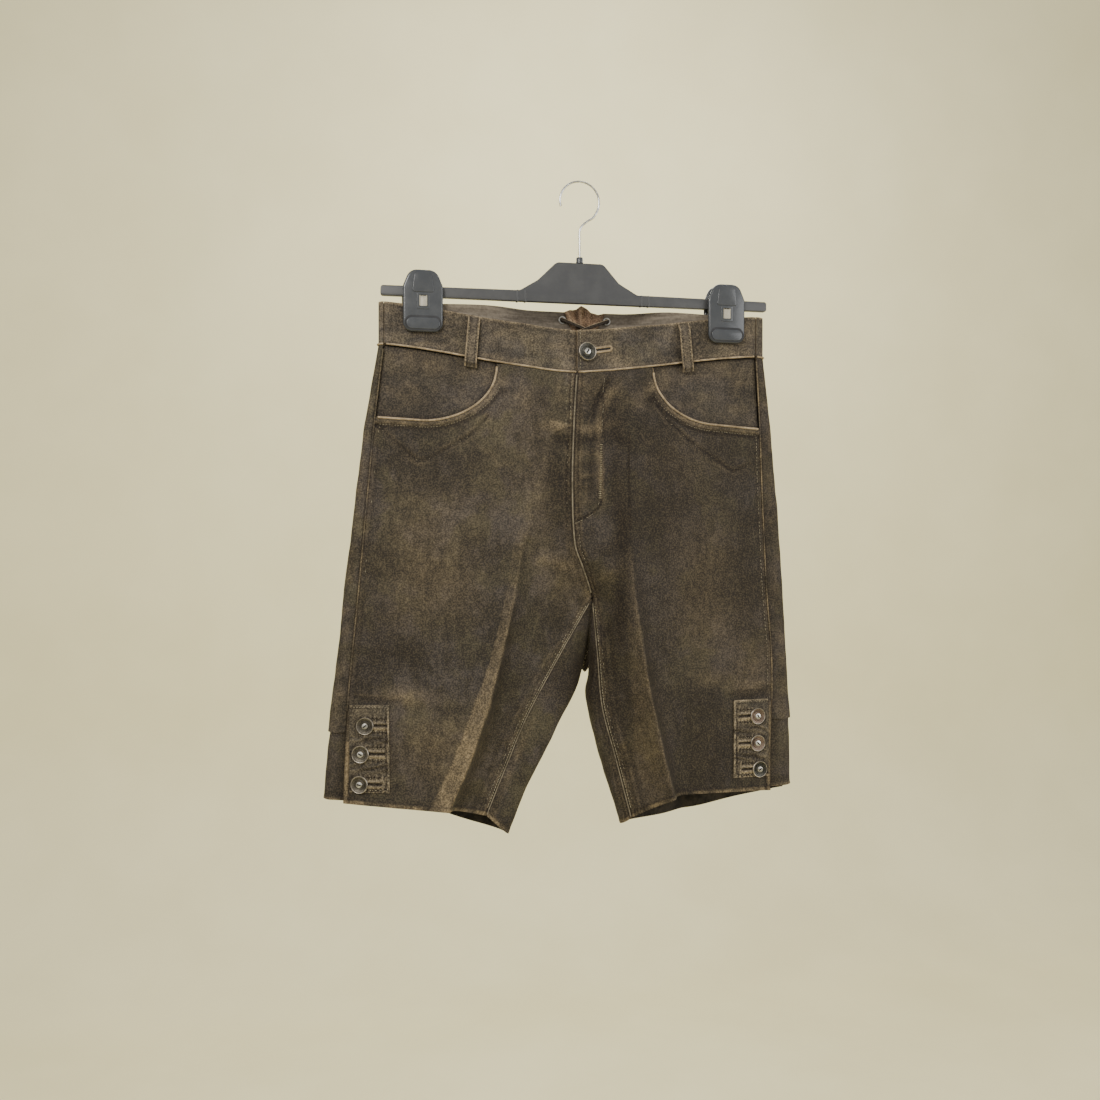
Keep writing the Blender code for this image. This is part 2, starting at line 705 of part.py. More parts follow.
def cut(target, tool):
    change = target.modifiers.new(tool.name, "BOOLEAN")
    change.operation = "DIFFERENCE"
    change.solver = "EXACT"
    change.object = tool


def keyhole(name, centre, normal, along, length, slit=1.6, hole=2.9, depth=9.0):
    """A cutter for a buttonhole: a round end for the button's neck and a slit running along."""
    z = normal.normalized()
    x = (along - z * along.dot(z)).normalized()
    y = z.cross(x)
    outline = []
    start = math.asin(slit / 2 / hole)
    for k in range(13):
        angle = lerp(start, 2 * math.pi - start, k / 12)
        outline.append((hole * math.cos(angle), hole * math.sin(angle)))
    outline += [(length, -slit / 2), (length, slit / 2)]
    mesh = bpy.data.meshes.new(name)
    bm = bmesh.new()
    floor = [bm.verts.new(centre + (x * a + y * b - z * depth / 2) * MM) for a, b in outline]
    face = bm.faces.new(floor)
    grown = bmesh.ops.extrude_face_region(bm, geom=[face])
    for item in grown["geom"]:
        if isinstance(item, bmesh.types.BMVert):
            item.co += z * depth * MM
    bmesh.ops.recalc_face_normals(bm, faces=bm.faces)
    bm.to_mesh(mesh)
    bm.free()
    obj = bpy.data.objects.new(name, mesh)
    CUTTERS.objects.link(obj)
    obj.hide_render = True
    obj.display_type = "WIRE"
    return obj


# ---------------------------------------------------------------- buttons, plackets and loops

PATCH = 1.2               # placket's thickness
PATCH_LIFT = PATCH + SEAM_GAP
Vent = namedtuple("Vent", "patch_x patch_edge_x top bottom")
VENT = {"right": Vent(-199, -238, 409, 496), "left": Vent(165, 206, 414, 497)}
# the leg buttons' places and the far ends of their buttonholes
LegButton = namedtuple("LegButton", "x drop end_x")
LEG_BUTTONS = {
    "right": (LegButton(-222.5, 430, -202), LegButton(-227, 458, -204), LegButton(-228, 488, -207)),
    "left": (LegButton(192.5, 432, 171), LegButton(192.5, 461, 171), LegButton(195, 489, 175)),
}


def build_placket(side):
    """The patch with the buttonholes, sewn on the front panel beside the vent."""
    panel = PANELS["front", side]
    vent = VENT[side]
    rows = []
    for drop in spaced(vent.top, vent.bottom, 7):
        line = []
        for x in spaced(vent.patch_edge_x, vent.patch_x, 6):
            u, v = locate(panel, x, drop)
            line.append((panel, u, v))
        rows.append(line)
    return panel_wall(f"vent_placket_{side}", "dark_leather", rows, lift=PATCH_LIFT, thick=PATCH,
                      seams=(0, 0))


def build_leg_buttons(side, front, placket):
    panel = PANELS["front", side]
    for number, button in enumerate(LEG_BUTTONS[side], 1):
        u, v = locate(panel, button.x, button.drop)
        normal = panel.normal(u, v)
        centre = panel.point(u, v)
        end = panel.point(*locate(panel, button.end_x, button.drop))
        hole = keyhole(f"buttonhole_{side}_{number}", centre, normal, end - centre,
                       (end - centre).length / MM)
        cut(front, hole)
        cut(placket, hole)
        foot = -TUCK + SEAM_GAP
        head = PATCH_LIFT + SEAM_GAP
        profile = [(0, foot), (2.2, foot), (2.2, head), (7.6, head),
                   (8.8, head + 0.9), (8.8, head + 1.9), (8.0, head + 2.6), (6.6, head + 1.9),
                   (4.6, head + 1.7), (4.2, head + 2.5), (0, head + 2.9)]
        turned(f"leg_button_{side}_{number}", "horn_button", profile, centre, normal)


WAIST_BUTTON = (0.8, 0.47)      # its x, and its height as a share of the band
WAIST_HOLE_END = 29.0


def band_at(band, x):
    """The s at which a band has this x."""
    low, high = 0.0, 1.0
    rising = band.point(1.0, 0.5).x > band.point(0.0, 0.5).x
    for _ in range(30):
        mid = (low + high) / 2
        if (band.point(mid, 0.5).x < x * MM) == rising:
            low = mid
        else:
            high = mid
    return low


def build_waist_button(band_piece):
    band = BANDS["front", "left"]
    s = band_at(band, WAIST_BUTTON[0])
    h = WAIST_BUTTON[1]
    centre = band.point(s, h)
    normal = (band.point(s, h, 1.0) - centre).normalized()
    end = band.point(band_at(band, WAIST_HOLE_END), h + 0.04)
    hole = keyhole("buttonhole_waist", centre, normal, end - centre, (end - centre).length / MM, depth=4.4)
    cut(band_piece, hole)
    foot, head = UNDER + SEAM_GAP, SEAM_GAP + 0.9
    profile = [(0, foot), (2.2, foot), (2.2, head), (8.2, head), (9.6, head + 1.0), (9.6, head + 2.1),
               (8.8, head + 2.9), (7.2, head + 2.1), (5.0, head + 1.9), (4.6, head + 2.8), (0, head + 3.2)]
    turned("waist_button", "horn_button", profile, centre, normal)


LOOP_WIDTH = 13.0
LOOP_SEAT = {"front": 0.65, "back": 0.9}     # the loop's ends above the band, clear of its facets
LOOP_ARCH = 2.9
Loop = namedtuple("Loop", "top_x foot_x")    # each loop leans outwards a little
LOOPS = {
    "front": {"right": Loop(-112.0, -116.5), "left": Loop(111.0, 116.0)},
    "back": {"right": Loop(-110.5, -114.0), "left": Loop(111.0, 114.0)},
}


def loop_point(face, side, x, along, lift):
    """A point on the line that a belt loop follows, from the band's top (0) past the seam (1)."""
    band, panel = BANDS[face, side], PANELS[face, side]
    run = (BAND_HEIGHT - 1.5 + 12.0) * along
    s = band_at(band, x)
    if run < BAND_HEIGHT - 1.5:
        return band.point(s, 1 - (run + 1.5) / BAND_HEIGHT, lift)
    below = (run - BAND_HEIGHT + 1.5) / 465.0
    return panel.point(s, below, lift)


def build_belt_loop(face, side):
    loop = LOOPS[face][side]
    outer, inner = [], []
    for along in (0.0, 0.06, 0.13, 0.4, 0.7, 0.84, 0.93, 1.0):
        rise = LOOP_SEAT[face] + LOOP_ARCH * min(smooth(along / 0.14), smooth((1 - along) / 0.09))
        line, back = [], []
        for share in (-0.5, -0.17, 0.17, 0.5):
            x = lerp(loop.top_x, loop.foot_x, along) + share * LOOP_WIDTH
            line.append(loop_point(face, side, x, along, rise + 1.5))
            back.append(loop_point(face, side, x, along, rise))
        outer.append(line)
        inner.append(back)
    return wall(f"belt_loop_{face}_{side}", "dark_leather", outer, inner)


# ---------------------------------------------------------------- welts

WELT = 1.15
FINE_WELT = 0.9


def welt(name, stations, radius=WELT):
    """A light leather cord in a seam: stations are (panel, u, v)."""
    path = [panel.point(u, v, radius + SEAM_GAP + 0.1) for panel, u, v in stations]
    return tube(name, "pale_edge", path, radius)


FRONT_WELT_U = [0.012] + FRONT_U[1:-1] + [0.993]
BACK_WELT_U = [0.012] + BACK_U[1:-1] + [0.993]
MOUTH_WELT = (0.02, 0.14, 0.28, 0.42, 0.56, 0.68, 0.78, 0.86, 0.92, 0.96, 0.99)


def build_welts():
    for side in SIDES:
        front, back = PANELS["front", side], PANELS["back", side]
        welt(f"welt_waist_front_{side}", [(front, u, 0.0) for u in FRONT_WELT_U])
        welt(f"welt_waist_back_{side}", [(back, u, 0.0) for u in BACK_WELT_U])
        end = mouth_end(front)
        mouth = [(front, end * t, mouth_v(front, end * t) + 0.002) for t in MOUTH_WELT]
        welt(f"welt_pocket_{side}", [station for station in mouth if station[2] > 0.012])
        welt(f"welt_side_{side}", [(back, 0.0, v) for v in spaced(0.012, V_VENT - 0.012, 15)], FINE_WELT)
        welt(f"welt_inseam_{side}", [(front, 1.0, v) for v in spaced(V_CROTCH + 0.02, 0.995, 11)], FINE_WELT)
    right = PANELS["front", "right"]
    welt("welt_centre_front", [(right, 1.0, v) for v in spaced(0.012, V_CROTCH - 0.012, 13)], FINE_WELT)


# ---------------------------------------------------------------- gusset, eyelets and lace

EYELET_HEIGHTS = {"upper": 0.80, "lower": 0.40}
EYELET_INSET = 8.5
FLANGE_GAP = 0.6          # between an eyelet's flange and the band, which curves under it
GUSSET_LAP = 2.8
Gather = namedtuple("Gather", "across rise push")
# the gusset's top edge and pleats, across the slit from the wearer's right
GATHERS = (
    Gather(0.00, 0.0, 0.0), Gather(0.14, 2.8, 0.9), Gather(0.28, 3.0, -0.6), Gather(0.42, 8.0, 1.4),
    Gather(0.53, 4.5, -0.4), Gather(0.65, 0.6, 1.0), Gather(0.82, -1.6, 0.2), Gather(1.00, 0.0, 0.0),
)
LACE = 1.2


def inset(band, h, distance):
    """The s that lies this many millimetres in from a band's middle end, at height h."""
    edge = band.point(1.0, h)
    s = 1.0
    while (band.point(s, h) - edge).length < distance * MM:
        s -= 0.001
    return s


def eyelet_place(side, height):
    band = BANDS["back", side]
    h = EYELET_HEIGHTS[height]
    s = inset(band, h, EYELET_INSET)
    centre = band.point(s, h)
    normal = (band.point(s, h, 1.0) - centre).normalized()
    return centre, normal


def build_eyelets(bands):
    for side in SIDES:
        for height in EYELET_HEIGHTS:
            centre, normal = eyelet_place(side, height)
            drill = turned(f"drill_{side}_{height}", "nickel", [(0, -5), (3.4, -5), (3.4, 3), (0, 3)],
                           centre, normal, 12)
            cutter(drill)
            cut(bands[f"band_back_{side}"], drill)
            low, high = -BAND_WALL - FLANGE_GAP, FLANGE_GAP
            profile = [(2.3, low - 0.6), (4.3, low - 0.5), (4.3, low), (2.9, low),
                       (2.9, high), (4.3, high), (4.3, high + 0.5), (2.3, high + 0.6)]
            turned(f"eyelet_{side}_{height}", "nickel", profile, centre, normal, 12)


def build_gusset():
    """The soft suede piece behind the slit, gathered up to a peak above the band."""
    right, left = BANDS["back", "right"], BANDS["back", "left"]
    outer, inner = [], []
    lift = -(BAND_WALL + SEAM_GAP)
    for h in spaced(-0.06, 1.0, 6):
        line, back = [], []
        level = max(h, 0)
        start = right.point(inset(right, level, GUSSET_LAP), level, lift)
        end = left.point(inset(left, level, GUSSET_LAP), level, lift)
        if h < 0:
            start.z += h * BAND_HEIGHT * MM
            end.z += h * BAND_HEIGHT * MM
        for gather in GATHERS:
            spot = start.lerp(end, gather.across)
            spot.y += gather.push * smooth(h) * MM
            spot.z += gather.rise * smooth(h) * MM
            line.append(spot)
            back.append(spot + Vector((0, -1.2, 0)) * MM)
        outer.append(line)
        inner.append(back)
    return wall("back_gusset", "rust_suede", outer, inner)


def curve_through(points, count):
    """A smooth run of points through a few given ones."""
    run = []
    last = len(points) - 1
    for k in range(count):
        x = k / (count - 1) * last
        i = min(int(x), last - 1)
        t = x - i
        p0, p1 = points[max(i - 1, 0)], points[i]
        p2, p3 = points[i + 1], points[min(i + 2, last)]
        run.append(0.5 * (2 * p1 + (p2 - p0) * t + (2 * p0 - 5 * p1 + 4 * p2 - p3) * t * t
                          + (3 * p1 - p0 - 3 * p2 + p3) * t ** 3))
    return run


def build_lace():
    """Inside, the lace crosses from the upper eyelets to the lower ones; outside it runs straight over."""
    places = {(side, height): eyelet_place(side, height) for side in SIDES for height in EYELET_HEIGHTS}
    for side, other, hump in (("right", "left", 8.4), ("left", "right", 11.4)):
        top, top_n = places[side, "upper"]
        low, low_n = places[other, "lower"]
        middle = (top + low) / 2 + Vector((0, -hump, 0)) * MM
        points = [top - top_n * d * MM for d in (1.4, 3.4, 5.4)] + [middle]
        points += [low - low_n * d * MM for d in (5.4, 3.4, 1.4)]
        tube(f"lace_inside_{side}", "rust_suede", curve_through(points, 16), LACE)
    for height in EYELET_HEIGHTS:
        start, start_n = places["right", height]
        end, end_n = places["left", height]
        points = [start + start_n * d * MM for d in (-0.4, 1.4, 3.0)]
        points += [(start + end) / 2 + Vector((0, 4.2, 0)) * MM]
        points += [end + end_n * d * MM for d in (3.0, 1.4, -0.4)]
        tube(f"lace_outside_{height}", "rust_suede", curve_through(points, 16), LACE)


# ---------------------------------------------------------------- hanger

BAR_HALF = 207.0
BAR_LOW, BAR_HIGH = 4.0, 15.5      # above the waistband's top
BAR_THICK = 6.0
HUMP = 46.5
WIRE = 1.1
HOOK_RADIUS = 21.0
PLUG_HIGH = 6.0


def above(height):
    """The z in mm of a height above the waistband's top."""
    return WAIST_Z + height


def build_hanger():
    bar = [(-BAR_HALF, above(BAR_LOW), 2.5), (BAR_HALF, above(BAR_LOW), 2.5),
           (BAR_HALF, above(BAR_HIGH - 1), 2.5), (62, above(BAR_HIGH), 8), (42, above(27), 10),
           (25, above(HUMP), 8), (-25, above(HUMP), 8), (-45, above(27), 10), (-64, above(BAR_HIGH), 8),
           (-BAR_HALF, above(BAR_HIGH - 1), 2.5)]
    plate("hanger_bar", "black_plastic", [rounded(bar, 3)], BAR_THICK)
    foot = above(HUMP) + SEAM_GAP
    profile = [(0, 0), (3.9, 0), (3.6, PLUG_HIGH - 0.8), (2.8, PLUG_HIGH), (0, PLUG_HIGH)]
    turned("hanger_plug", "black_plastic", profile, Vector((0, 0, foot)) * MM, Vector((0, 0, 1)), 14)
    start = foot + PLUG_HIGH + SEAM_GAP
    centre_z = -(HOOK_RADIUS - WIRE)
    path = [Vector((0, 0, start)), Vector((0, 0, start + 14)), Vector((0, 0, start + 27))]
    swing = [(2.5, start + 33), (8, start + 38), (14.5, start + 42.5)]
    path += [Vector((x, 0, z)) for x, z in swing]
    for degrees in range(-28, 205, 14):
        a = math.radians(degrees)
        path.append(Vector((HOOK_RADIUS * math.cos(a), 0, centre_z + HOOK_RADIUS * math.sin(a))))
    tube("hanger_hook", "spring_steel", [p * MM for p in path], WIRE, 2)


JAW_INNER = 4.85
JAW_THICK = 4.6
CLIP_DROP = 0.5


def clip_outline():
    corners = [(-20, -32, 9), (20, -32, 9), (20.5, 14, 9), (13.5, 31, 11), (-13.5, 31, 11), (-20.5, 14, 9)]
    return rounded(corners)


def ribbon(path, thickness):
    """The outline of a bent strip seen edge on."""
    left, right = [], []
    for i, here in enumerate(path):
        before, after = path[max(i - 1, 0)], path[min(i + 1, len(path) - 1)]
        run = (Vector(after) - Vector(before)).normalized()
        side = Vector((-run.y, run.x)) * thickness / 2
        left.append(tuple(Vector(here) + side))
        right.append(tuple(Vector(here) - side))
    return left + right[::-1]


def build_clip(side):
    x = CLIP_X[side]
    centre_z = WAIST_Z - CLIP_DROP
    window = [(-4, -6.5), (4, -6.5), (4, 5), (-4, 5)]
    for name, sign in (("front", -1), ("back", 1)):
        y = sign * (JAW_INNER + JAW_THICK / 2)
        plate(f"clip_{side}_{name}_jaw", "black_plastic", [clip_outline(), window], JAW_THICK,
              (x, y, centre_z))
    leg = BAR_THICK / 2 + 0.65
    half = [(8.0, above(-5.5)), (8.0, above(-1.5)), (7.0, above(0.5)), (leg + 0.6, above(3.0)),
            (leg, above(4.2)), (leg, above(14.5)), (leg - 1.2, above(16.6)), (0, above(17.4))]
    path = half + [(-a, b) for a, b in half[-2::-1]]
    plate(f"clip_{side}_spring", "spring_steel", [ribbon(path, 0.7)], 6.4, (x, 0, 0), "YZ")


# ---------------------------------------------------------------- the whole


def collection(name):
    made = bpy.data.collections.new(name)
    bpy.context.scene.collection.children.link(made)
    return made


def main():
    global COLLECTION, CUTTERS
    for obj in list(bpy.data.objects):
        bpy.data.objects.remove(obj, do_unlink=True)
    COLLECTION = collection("lederhosen")
    CUTTERS = collection("cutters")
    for side in SIDES:
        front = build_front(side)
        build_back(side)
        build_facing(side)
        build_underlap(side)
        placket = build_placket(side)
        build_leg_buttons(side, front, placket)
        build_clip(side)
        for face in ("front", "back"):
            build_belt_loop(face, side)
    bands = build_bands()
    build_waist_button(bands["band_front_left"])
    build_eyelets(bands)
    build_gusset()
    build_lace()
    build_welts()
    build_hanger()


main()
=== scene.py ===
# %% [markdown]
# # Short leather breeches on a clip hanger
#
# This lesson dresses a plain model of a pair of lederhosen. The plain model is a set of closed solids
# with the right sizes, and it is loaded as a fixed frame. Every cell below makes one thing that shows:
# a leather panel, a row of stitches, a button. Each piece takes its place from the same tables of
# sections as the solids, so nothing has to be fitted by eye afterwards.

# %% Load the frame
import json
import math
from collections import namedtuple

import bpy
import numpy as np
from mathutils import Matrix, Vector, noise

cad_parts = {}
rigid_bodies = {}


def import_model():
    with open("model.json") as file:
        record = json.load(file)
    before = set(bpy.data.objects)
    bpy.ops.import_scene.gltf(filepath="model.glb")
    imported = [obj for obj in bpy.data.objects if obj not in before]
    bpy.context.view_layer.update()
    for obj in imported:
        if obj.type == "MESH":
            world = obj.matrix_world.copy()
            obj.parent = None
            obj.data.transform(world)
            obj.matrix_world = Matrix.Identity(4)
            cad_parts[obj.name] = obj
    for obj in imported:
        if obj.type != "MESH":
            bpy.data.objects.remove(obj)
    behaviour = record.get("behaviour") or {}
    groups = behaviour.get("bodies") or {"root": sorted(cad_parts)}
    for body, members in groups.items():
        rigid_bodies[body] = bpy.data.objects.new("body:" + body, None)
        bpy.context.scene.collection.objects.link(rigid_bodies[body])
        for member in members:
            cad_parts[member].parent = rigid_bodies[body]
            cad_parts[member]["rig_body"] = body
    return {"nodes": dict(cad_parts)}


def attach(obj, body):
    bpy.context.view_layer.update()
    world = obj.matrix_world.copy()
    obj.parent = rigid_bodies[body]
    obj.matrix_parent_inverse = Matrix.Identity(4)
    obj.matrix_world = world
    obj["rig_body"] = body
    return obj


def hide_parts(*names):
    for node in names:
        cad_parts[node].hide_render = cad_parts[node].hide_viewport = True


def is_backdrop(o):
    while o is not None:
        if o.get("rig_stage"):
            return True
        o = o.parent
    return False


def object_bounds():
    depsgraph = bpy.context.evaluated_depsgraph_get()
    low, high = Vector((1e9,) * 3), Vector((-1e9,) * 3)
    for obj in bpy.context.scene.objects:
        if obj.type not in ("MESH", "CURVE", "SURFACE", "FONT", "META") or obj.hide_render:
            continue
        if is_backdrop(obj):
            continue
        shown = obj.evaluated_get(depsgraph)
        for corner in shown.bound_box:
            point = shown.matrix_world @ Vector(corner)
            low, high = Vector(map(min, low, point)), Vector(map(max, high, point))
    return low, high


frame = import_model()
CAD_LOW, CAD_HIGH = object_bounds()
bpy.ops.object.select_all(action="DESELECT")
print("frame:", len(frame["nodes"]), "solids, height", round(CAD_HIGH.z - CAD_LOW.z, 3), "m")

# %% [markdown]
# ## Camera
#
# The garment is seen from a little to its right, at the height of its middle. A camera can be aimed with a
# constraint or with angles; angles are plain numbers, so they are used here. The lens is a little longer
# than normal, which keeps the legs straight.

# %% Camera
MM = 0.001
CAMERA_PLACE = (-0.2676, -1.1702, -0.3856)
CAMERA_TURN = math.radians(-11.4)
LENS = 37.41

bpy.ops.object.camera_add(location=CAMERA_PLACE, rotation=(math.radians(90), 0, CAMERA_TURN))
camera = bpy.context.object
camera.data.lens = LENS
camera.data.sensor_width = 36
camera.data.clip_end = 20
bpy.context.scene.camera = camera
print("camera at", [round(c, 3) for c in camera.location], "m")

# %% [markdown]
# ## Floor and light
#
# Dark suede shows its nap only in soft light from one side. One large lamp stands at the front left, a
# weaker one fills from the right, a third lifts the back, and a last one lights the paper. The floor runs
# far back and then up in one bend, as studio paper does, so no edge shows behind the garment.

# %% Floor and light
FLOOR_Z = -1.9
WALL_Y = 3.4
BEND_RADIUS = 0.9


def add_light(name, place, aim, size, watts, colour=(1, 1, 1)):
    bpy.ops.object.light_add(type="AREA", location=place)
    lamp = bpy.context.object
    lamp.name = name
    lamp.data.shape = "DISK"
    lamp.data.size = size
    lamp.data.energy = watts
    lamp.data.color = colour
    lamp.rotation_euler = (Vector(aim) - Vector(place)).to_track_quat("-Z", "Y").to_euler()
    return lamp


def add_paper():
    """A sheet of pale paper: floor, a quarter bend, and the wall behind."""
    bend = [(-8.0, FLOOR_Z)]
    for k in range(13):
        a = math.pi / 2 * k / 12
        bend.append((WALL_Y - BEND_RADIUS + BEND_RADIUS * math.sin(a),
                     FLOOR_Z + BEND_RADIUS * (1 - math.cos(a))))
    bend.append((WALL_Y, 2.2))
    bpy.ops.mesh.primitive_grid_add(x_subdivisions=1, y_subdivisions=len(bend) - 1, size=16)
    paper = bpy.context.object
    paper.name = "studio_paper"
    levels = sorted({round(v.co.y, 5) for v in paper.data.vertices})
    for vertex in paper.data.vertices:
        y, z = bend[levels.index(round(vertex.co.y, 5))]
        vertex.co.y, vertex.co.z = y, z
    bpy.ops.object.shade_smooth()
    paper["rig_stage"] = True
    return paper


paper = add_paper()
MIDDLE = (0.0, 0.0, -0.4)
add_light("key_light", (-1.1, -1.7, 0.65), MIDDLE, 0.8, 36, (1.0, 0.98, 0.94))
add_light("fill_light", (1.5, -1.3, -0.1), MIDDLE, 1.4, 18, (0.97, 0.98, 1.0))
add_light("back_light", (0.4, 1.3, 0.5), MIDDLE, 1.0, 13, (0.93, 0.96, 1.0))
add_light("wall_light", (0.8, 1.3, 1.6), (0.8, 3.4, -0.6), 1.6, 61, (1.0, 0.985, 0.92))
world = bpy.data.worlds.new("studio")
bpy.context.scene.world = world
world.use_nodes = True
background = world.node_tree.nodes["Background"].inputs
background["Color"].default_value = (0.92, 0.92, 0.9, 1)
background["Strength"].default_value = 0.75

# %% [markdown]
# ## The cut
#
# The four main panels are smooth surfaces. Each has a u that runs from the side seam to the middle seam and
# a v that runs from the waist seam to the hem. A row of a table is one section round the leg, in
# millimetres. "drop" is measured down from the top of the band's sides, "right" is the wearer's right leg,
# and the front faces -Y. The solids have the same tables, so the dressed panels lie exactly on them.

# %% Tables of sections
WAIST_Z = -131.6
LEATHER = 1.8
BAND_WALL = 2.2
SEAM_GAP = 0.3
BAND_HEIGHT = 43.0
PINCH = 4.0
BOW = 28.0
BOW_HALF = 118.0
BOW_MIDDLE = -5.0
V_CROTCH = 0.581
V_VENT = 0.8
SIDES = {"right": -1, "left": 1}


def rows_of(kind, *rows):
    """A table's rows, whose columns then have names."""
    return [kind(*row) for row in rows]


Seam = namedtuple("Seam", "v x y drop")
Front = namedtuple("Front", "v side_x side_y side_drop ridge_x ridge_y ridge_drop "
                            "side_foot side_fall edge_foot edge_fall curve")
Back = namedtuple("Back", "v fold_x fold_r back_y ridge_x ridge_y ridge_drop "
                          "inner_x inner_y inner_drop reach roll")

CENTRE_FRONT = rows_of(Seam,
    (0, -10, -31.5, 72.3),
    (0.168, -14, -36, 124),
    (0.312, -16, -37, 188),
    (0.441, -12, -31, 247),
    (0.512, -2, -23, 271),
    (0.553, 6, -15.5, 289),
    (V_CROTCH, 11.5, -10, 303))
SEAT = rows_of(Seam,
    (0, 11, 31.5, 42),
    (0.168, 13, 37, 122),
    (0.312, 14, 39, 200),
    (0.42, 13, 37, 275),
    (0.47, 12, 33, 340),
    (0.512, 10, 25, 383),
    (0.535, 13, 14, 377),
    (0.56, 15, 2, 342),
    (V_CROTCH, 11.5, -10, 303))
INSEAM = {
    "right": rows_of(Seam,
        (V_CROTCH, 11.5, -10, 303),
        (0.688, -25, -13, 364),
        (0.796, -58, -11, 425),
        (0.904, -80, -9.5, 477),
        (1, -100, -8, 526.5)),
    "left": rows_of(Seam,
        (V_CROTCH, 11.5, -10, 303),
        (0.688, 17, -9, 362),
        (0.796, 22.5, -8, 418),
        (0.904, 37, -8, 472),
        (1, 54, -8, 536)),
}
FRONT = {
    "right": rows_of(Front,
        (0, -204, -2.5, 45, -42, -29, 70, 22, 1.5, 14, 1, 1.6),
        (0.168, -213, -3.5, 121, -34, -35, 136, 22, 2, 12, 2, 1.5),
        (0.312, -219.5, -4.5, 190, -46, -39, 192, 22, 3, 12, 5, 1.2),
        (0.441, -225, -5, 250, -68, -41, 250, 22, 4, 12, 8, 1.05),
        (0.512, -228, -5.5, 283, -73, -41.5, 282, 22, 4.5, 12, 9, 1),
        (0.581, -231, -6, 315, -79, -42.5, 313, 22, 5, 12, 11, 1),
        (0.688, -236, -6.5, 365, -91, -44, 366, 21, 6, 10, 16, 1),
        (0.796, -240.5, -7.5, 415, -105, -45, 418, 20, 6.5, 9, 20, 0.95),
        (0.904, -243, -8, 465, -122, -45.5, 468, 19, 7, 8, 23, 0.9),
        (1, -244.5, -8, 507.5, -142, -45, 514, 18, 7, 7, 25, 0.9)),
    "left": rows_of(Front,
        (0, 195, -2.5, 45, 38, -27, 67, 16, 1.5, 14, 1, 1.6),
        (0.168, 199, -3.5, 122, 40, -34, 136, 16, 2, 20, 2, 1.5),
        (0.312, 201, -4.5, 190, 41, -38, 190, 16, 3, 22, 3, 1.2),
        (0.441, 203.5, -5, 250, 44, -40, 252, 14, 6, 22, 5, 1.1),
        (0.512, 205, -5.5, 283, 47, -40.5, 283, 13, 8, 20, 7, 1.05),
        (0.581, 207, -6, 315, 51, -41, 314, 12, 10, 19, 12, 1),
        (0.688, 211, -6.5, 365, 59, -43, 367, 11, 16, 19, 18, 1),
        (0.796, 211, -7.5, 415, 69, -45, 419, 10, 20, 19, 22, 0.9),
        (0.904, 209.8, -8, 465, 80, -45.5, 468, 9.5, 23, 19, 23, 0.85),
        (1, 209.3, -8, 513, 91, -45, 511, 9, 25, 19, 23, 0.85)),
}
BACK = {
    "right": rows_of(Back,
        (0, -210, 3.4, 4, -100, 11, 43, -28, 30, 42, 22, 0),
        (0.168, -223.5, 5, 10, -98, 33, 122, -26, 37, 122, 22, 0),
        (0.312, -233, 6, 13, -96, 40, 195, -26, 40, 200, 22, 0),
        (0.42, -239, 6.5, 14, -97, 42, 252, -24, 39, 274, 22, 0),
        (0.47, -242.5, 7, 14.5, -98, 42, 282, -22, 36, 320, 22, 0),
        (0.512, -245, 7, 15, -99, 42, 310, -15, 32, 352, 20, 1),
        (0.535, -246, 7, 15, -100, 42, 325, -7, 27, 366, 18, 3),
        (0.56, -247, 7.5, 15, -101, 42, 338, 1, 19, 380, 14, 7),
        (0.581, -248, 7.5, 15, -102, 42, 348, 7, 11, 386, 11, 11),
        (0.688, -253, 8, 15.5, -110, 43, 385, 0, 0, 401, 9, 17),
        (0.796, -259.5, 8.5, 16, -122, 43, 425, -19, 1, 436, 8, 16),
        (0.904, -265.5, 9, 16, -137, 42, 476, -47, 1, 490, 7, 14),
        (1, -268.5, 9, 16, -152, 40, 525, -74, 1, 549.5, 6, 12)),
    "left": rows_of(Back,
        (0, 205, 3.4, 4, 105, 11, 43, 42, 29, 42, 18, 0),
        (0.168, 214, 5, 10, 103, 33, 122, 44, 37, 122, 20, 0),
        (0.312, 221.5, 6, 13, 100, 40, 195, 46, 40, 200, 20, 0),
        (0.42, 225, 6.5, 14, 100, 42, 252, 44, 39, 274, 20, 0),
        (0.47, 227, 7, 14.5, 100, 42, 282, 42, 36, 320, 20, 0),
        (0.512, 228.5, 7, 15, 100, 42, 310, 36, 32, 352, 20, 1),
        (0.535, 229, 7, 15, 101, 42, 325, 29, 27, 366, 18, 3),
        (0.56, 230, 7.5, 15, 101, 42, 338, 20, 19, 380, 14, 7),
        (0.581, 231, 7.5, 15, 102, 42, 348, 12, 11, 385, 11, 11),
        (0.688, 234, 8, 15.5, 105, 43, 387, 3, 1, 403, 9, 17),
        (0.796, 237.5, 8.5, 16, 110, 43, 428, 9, 1, 432, 7, 15),
        (0.904, 240, 9, 16, 117, 42, 479, 23, 1, 485, 7, 14),
        (1, 242, 9, 16, 124, 40, 538, 43, 1, 544, 6, 12)),
}

# pocket mouths: a quarter of an ellipse from the waist seam, then a nearly level run to the side seam
Pocket = namedtuple("Pocket", "centre_x centre_drop half_width depth side_drop")
POCKET = {
    "right": Pocket(-163, 66, 73, 56, 119),
    "left": Pocket(146, 63, 71, 57, 123),
}
print("sections:", {side: len(FRONT[side]) + len(BACK[side]) for side in SIDES})

# %% [markdown]
# ## Curves between the sections
#
# A section is a cubic B-spline, which never overshoots its control points, so a pressed crease stays a
# crease and a fold stays round. Between the rows of a table each column runs through a smooth cubic, as it
# does in the solids.

# %% Curves
def lerp(a, b, t):
    return a + (b - a) * t


def ease(t):
    """A soft step from 0 to 1."""
    t = np.clip(t, 0, 1)
    return t * t * (3 - 2 * t)


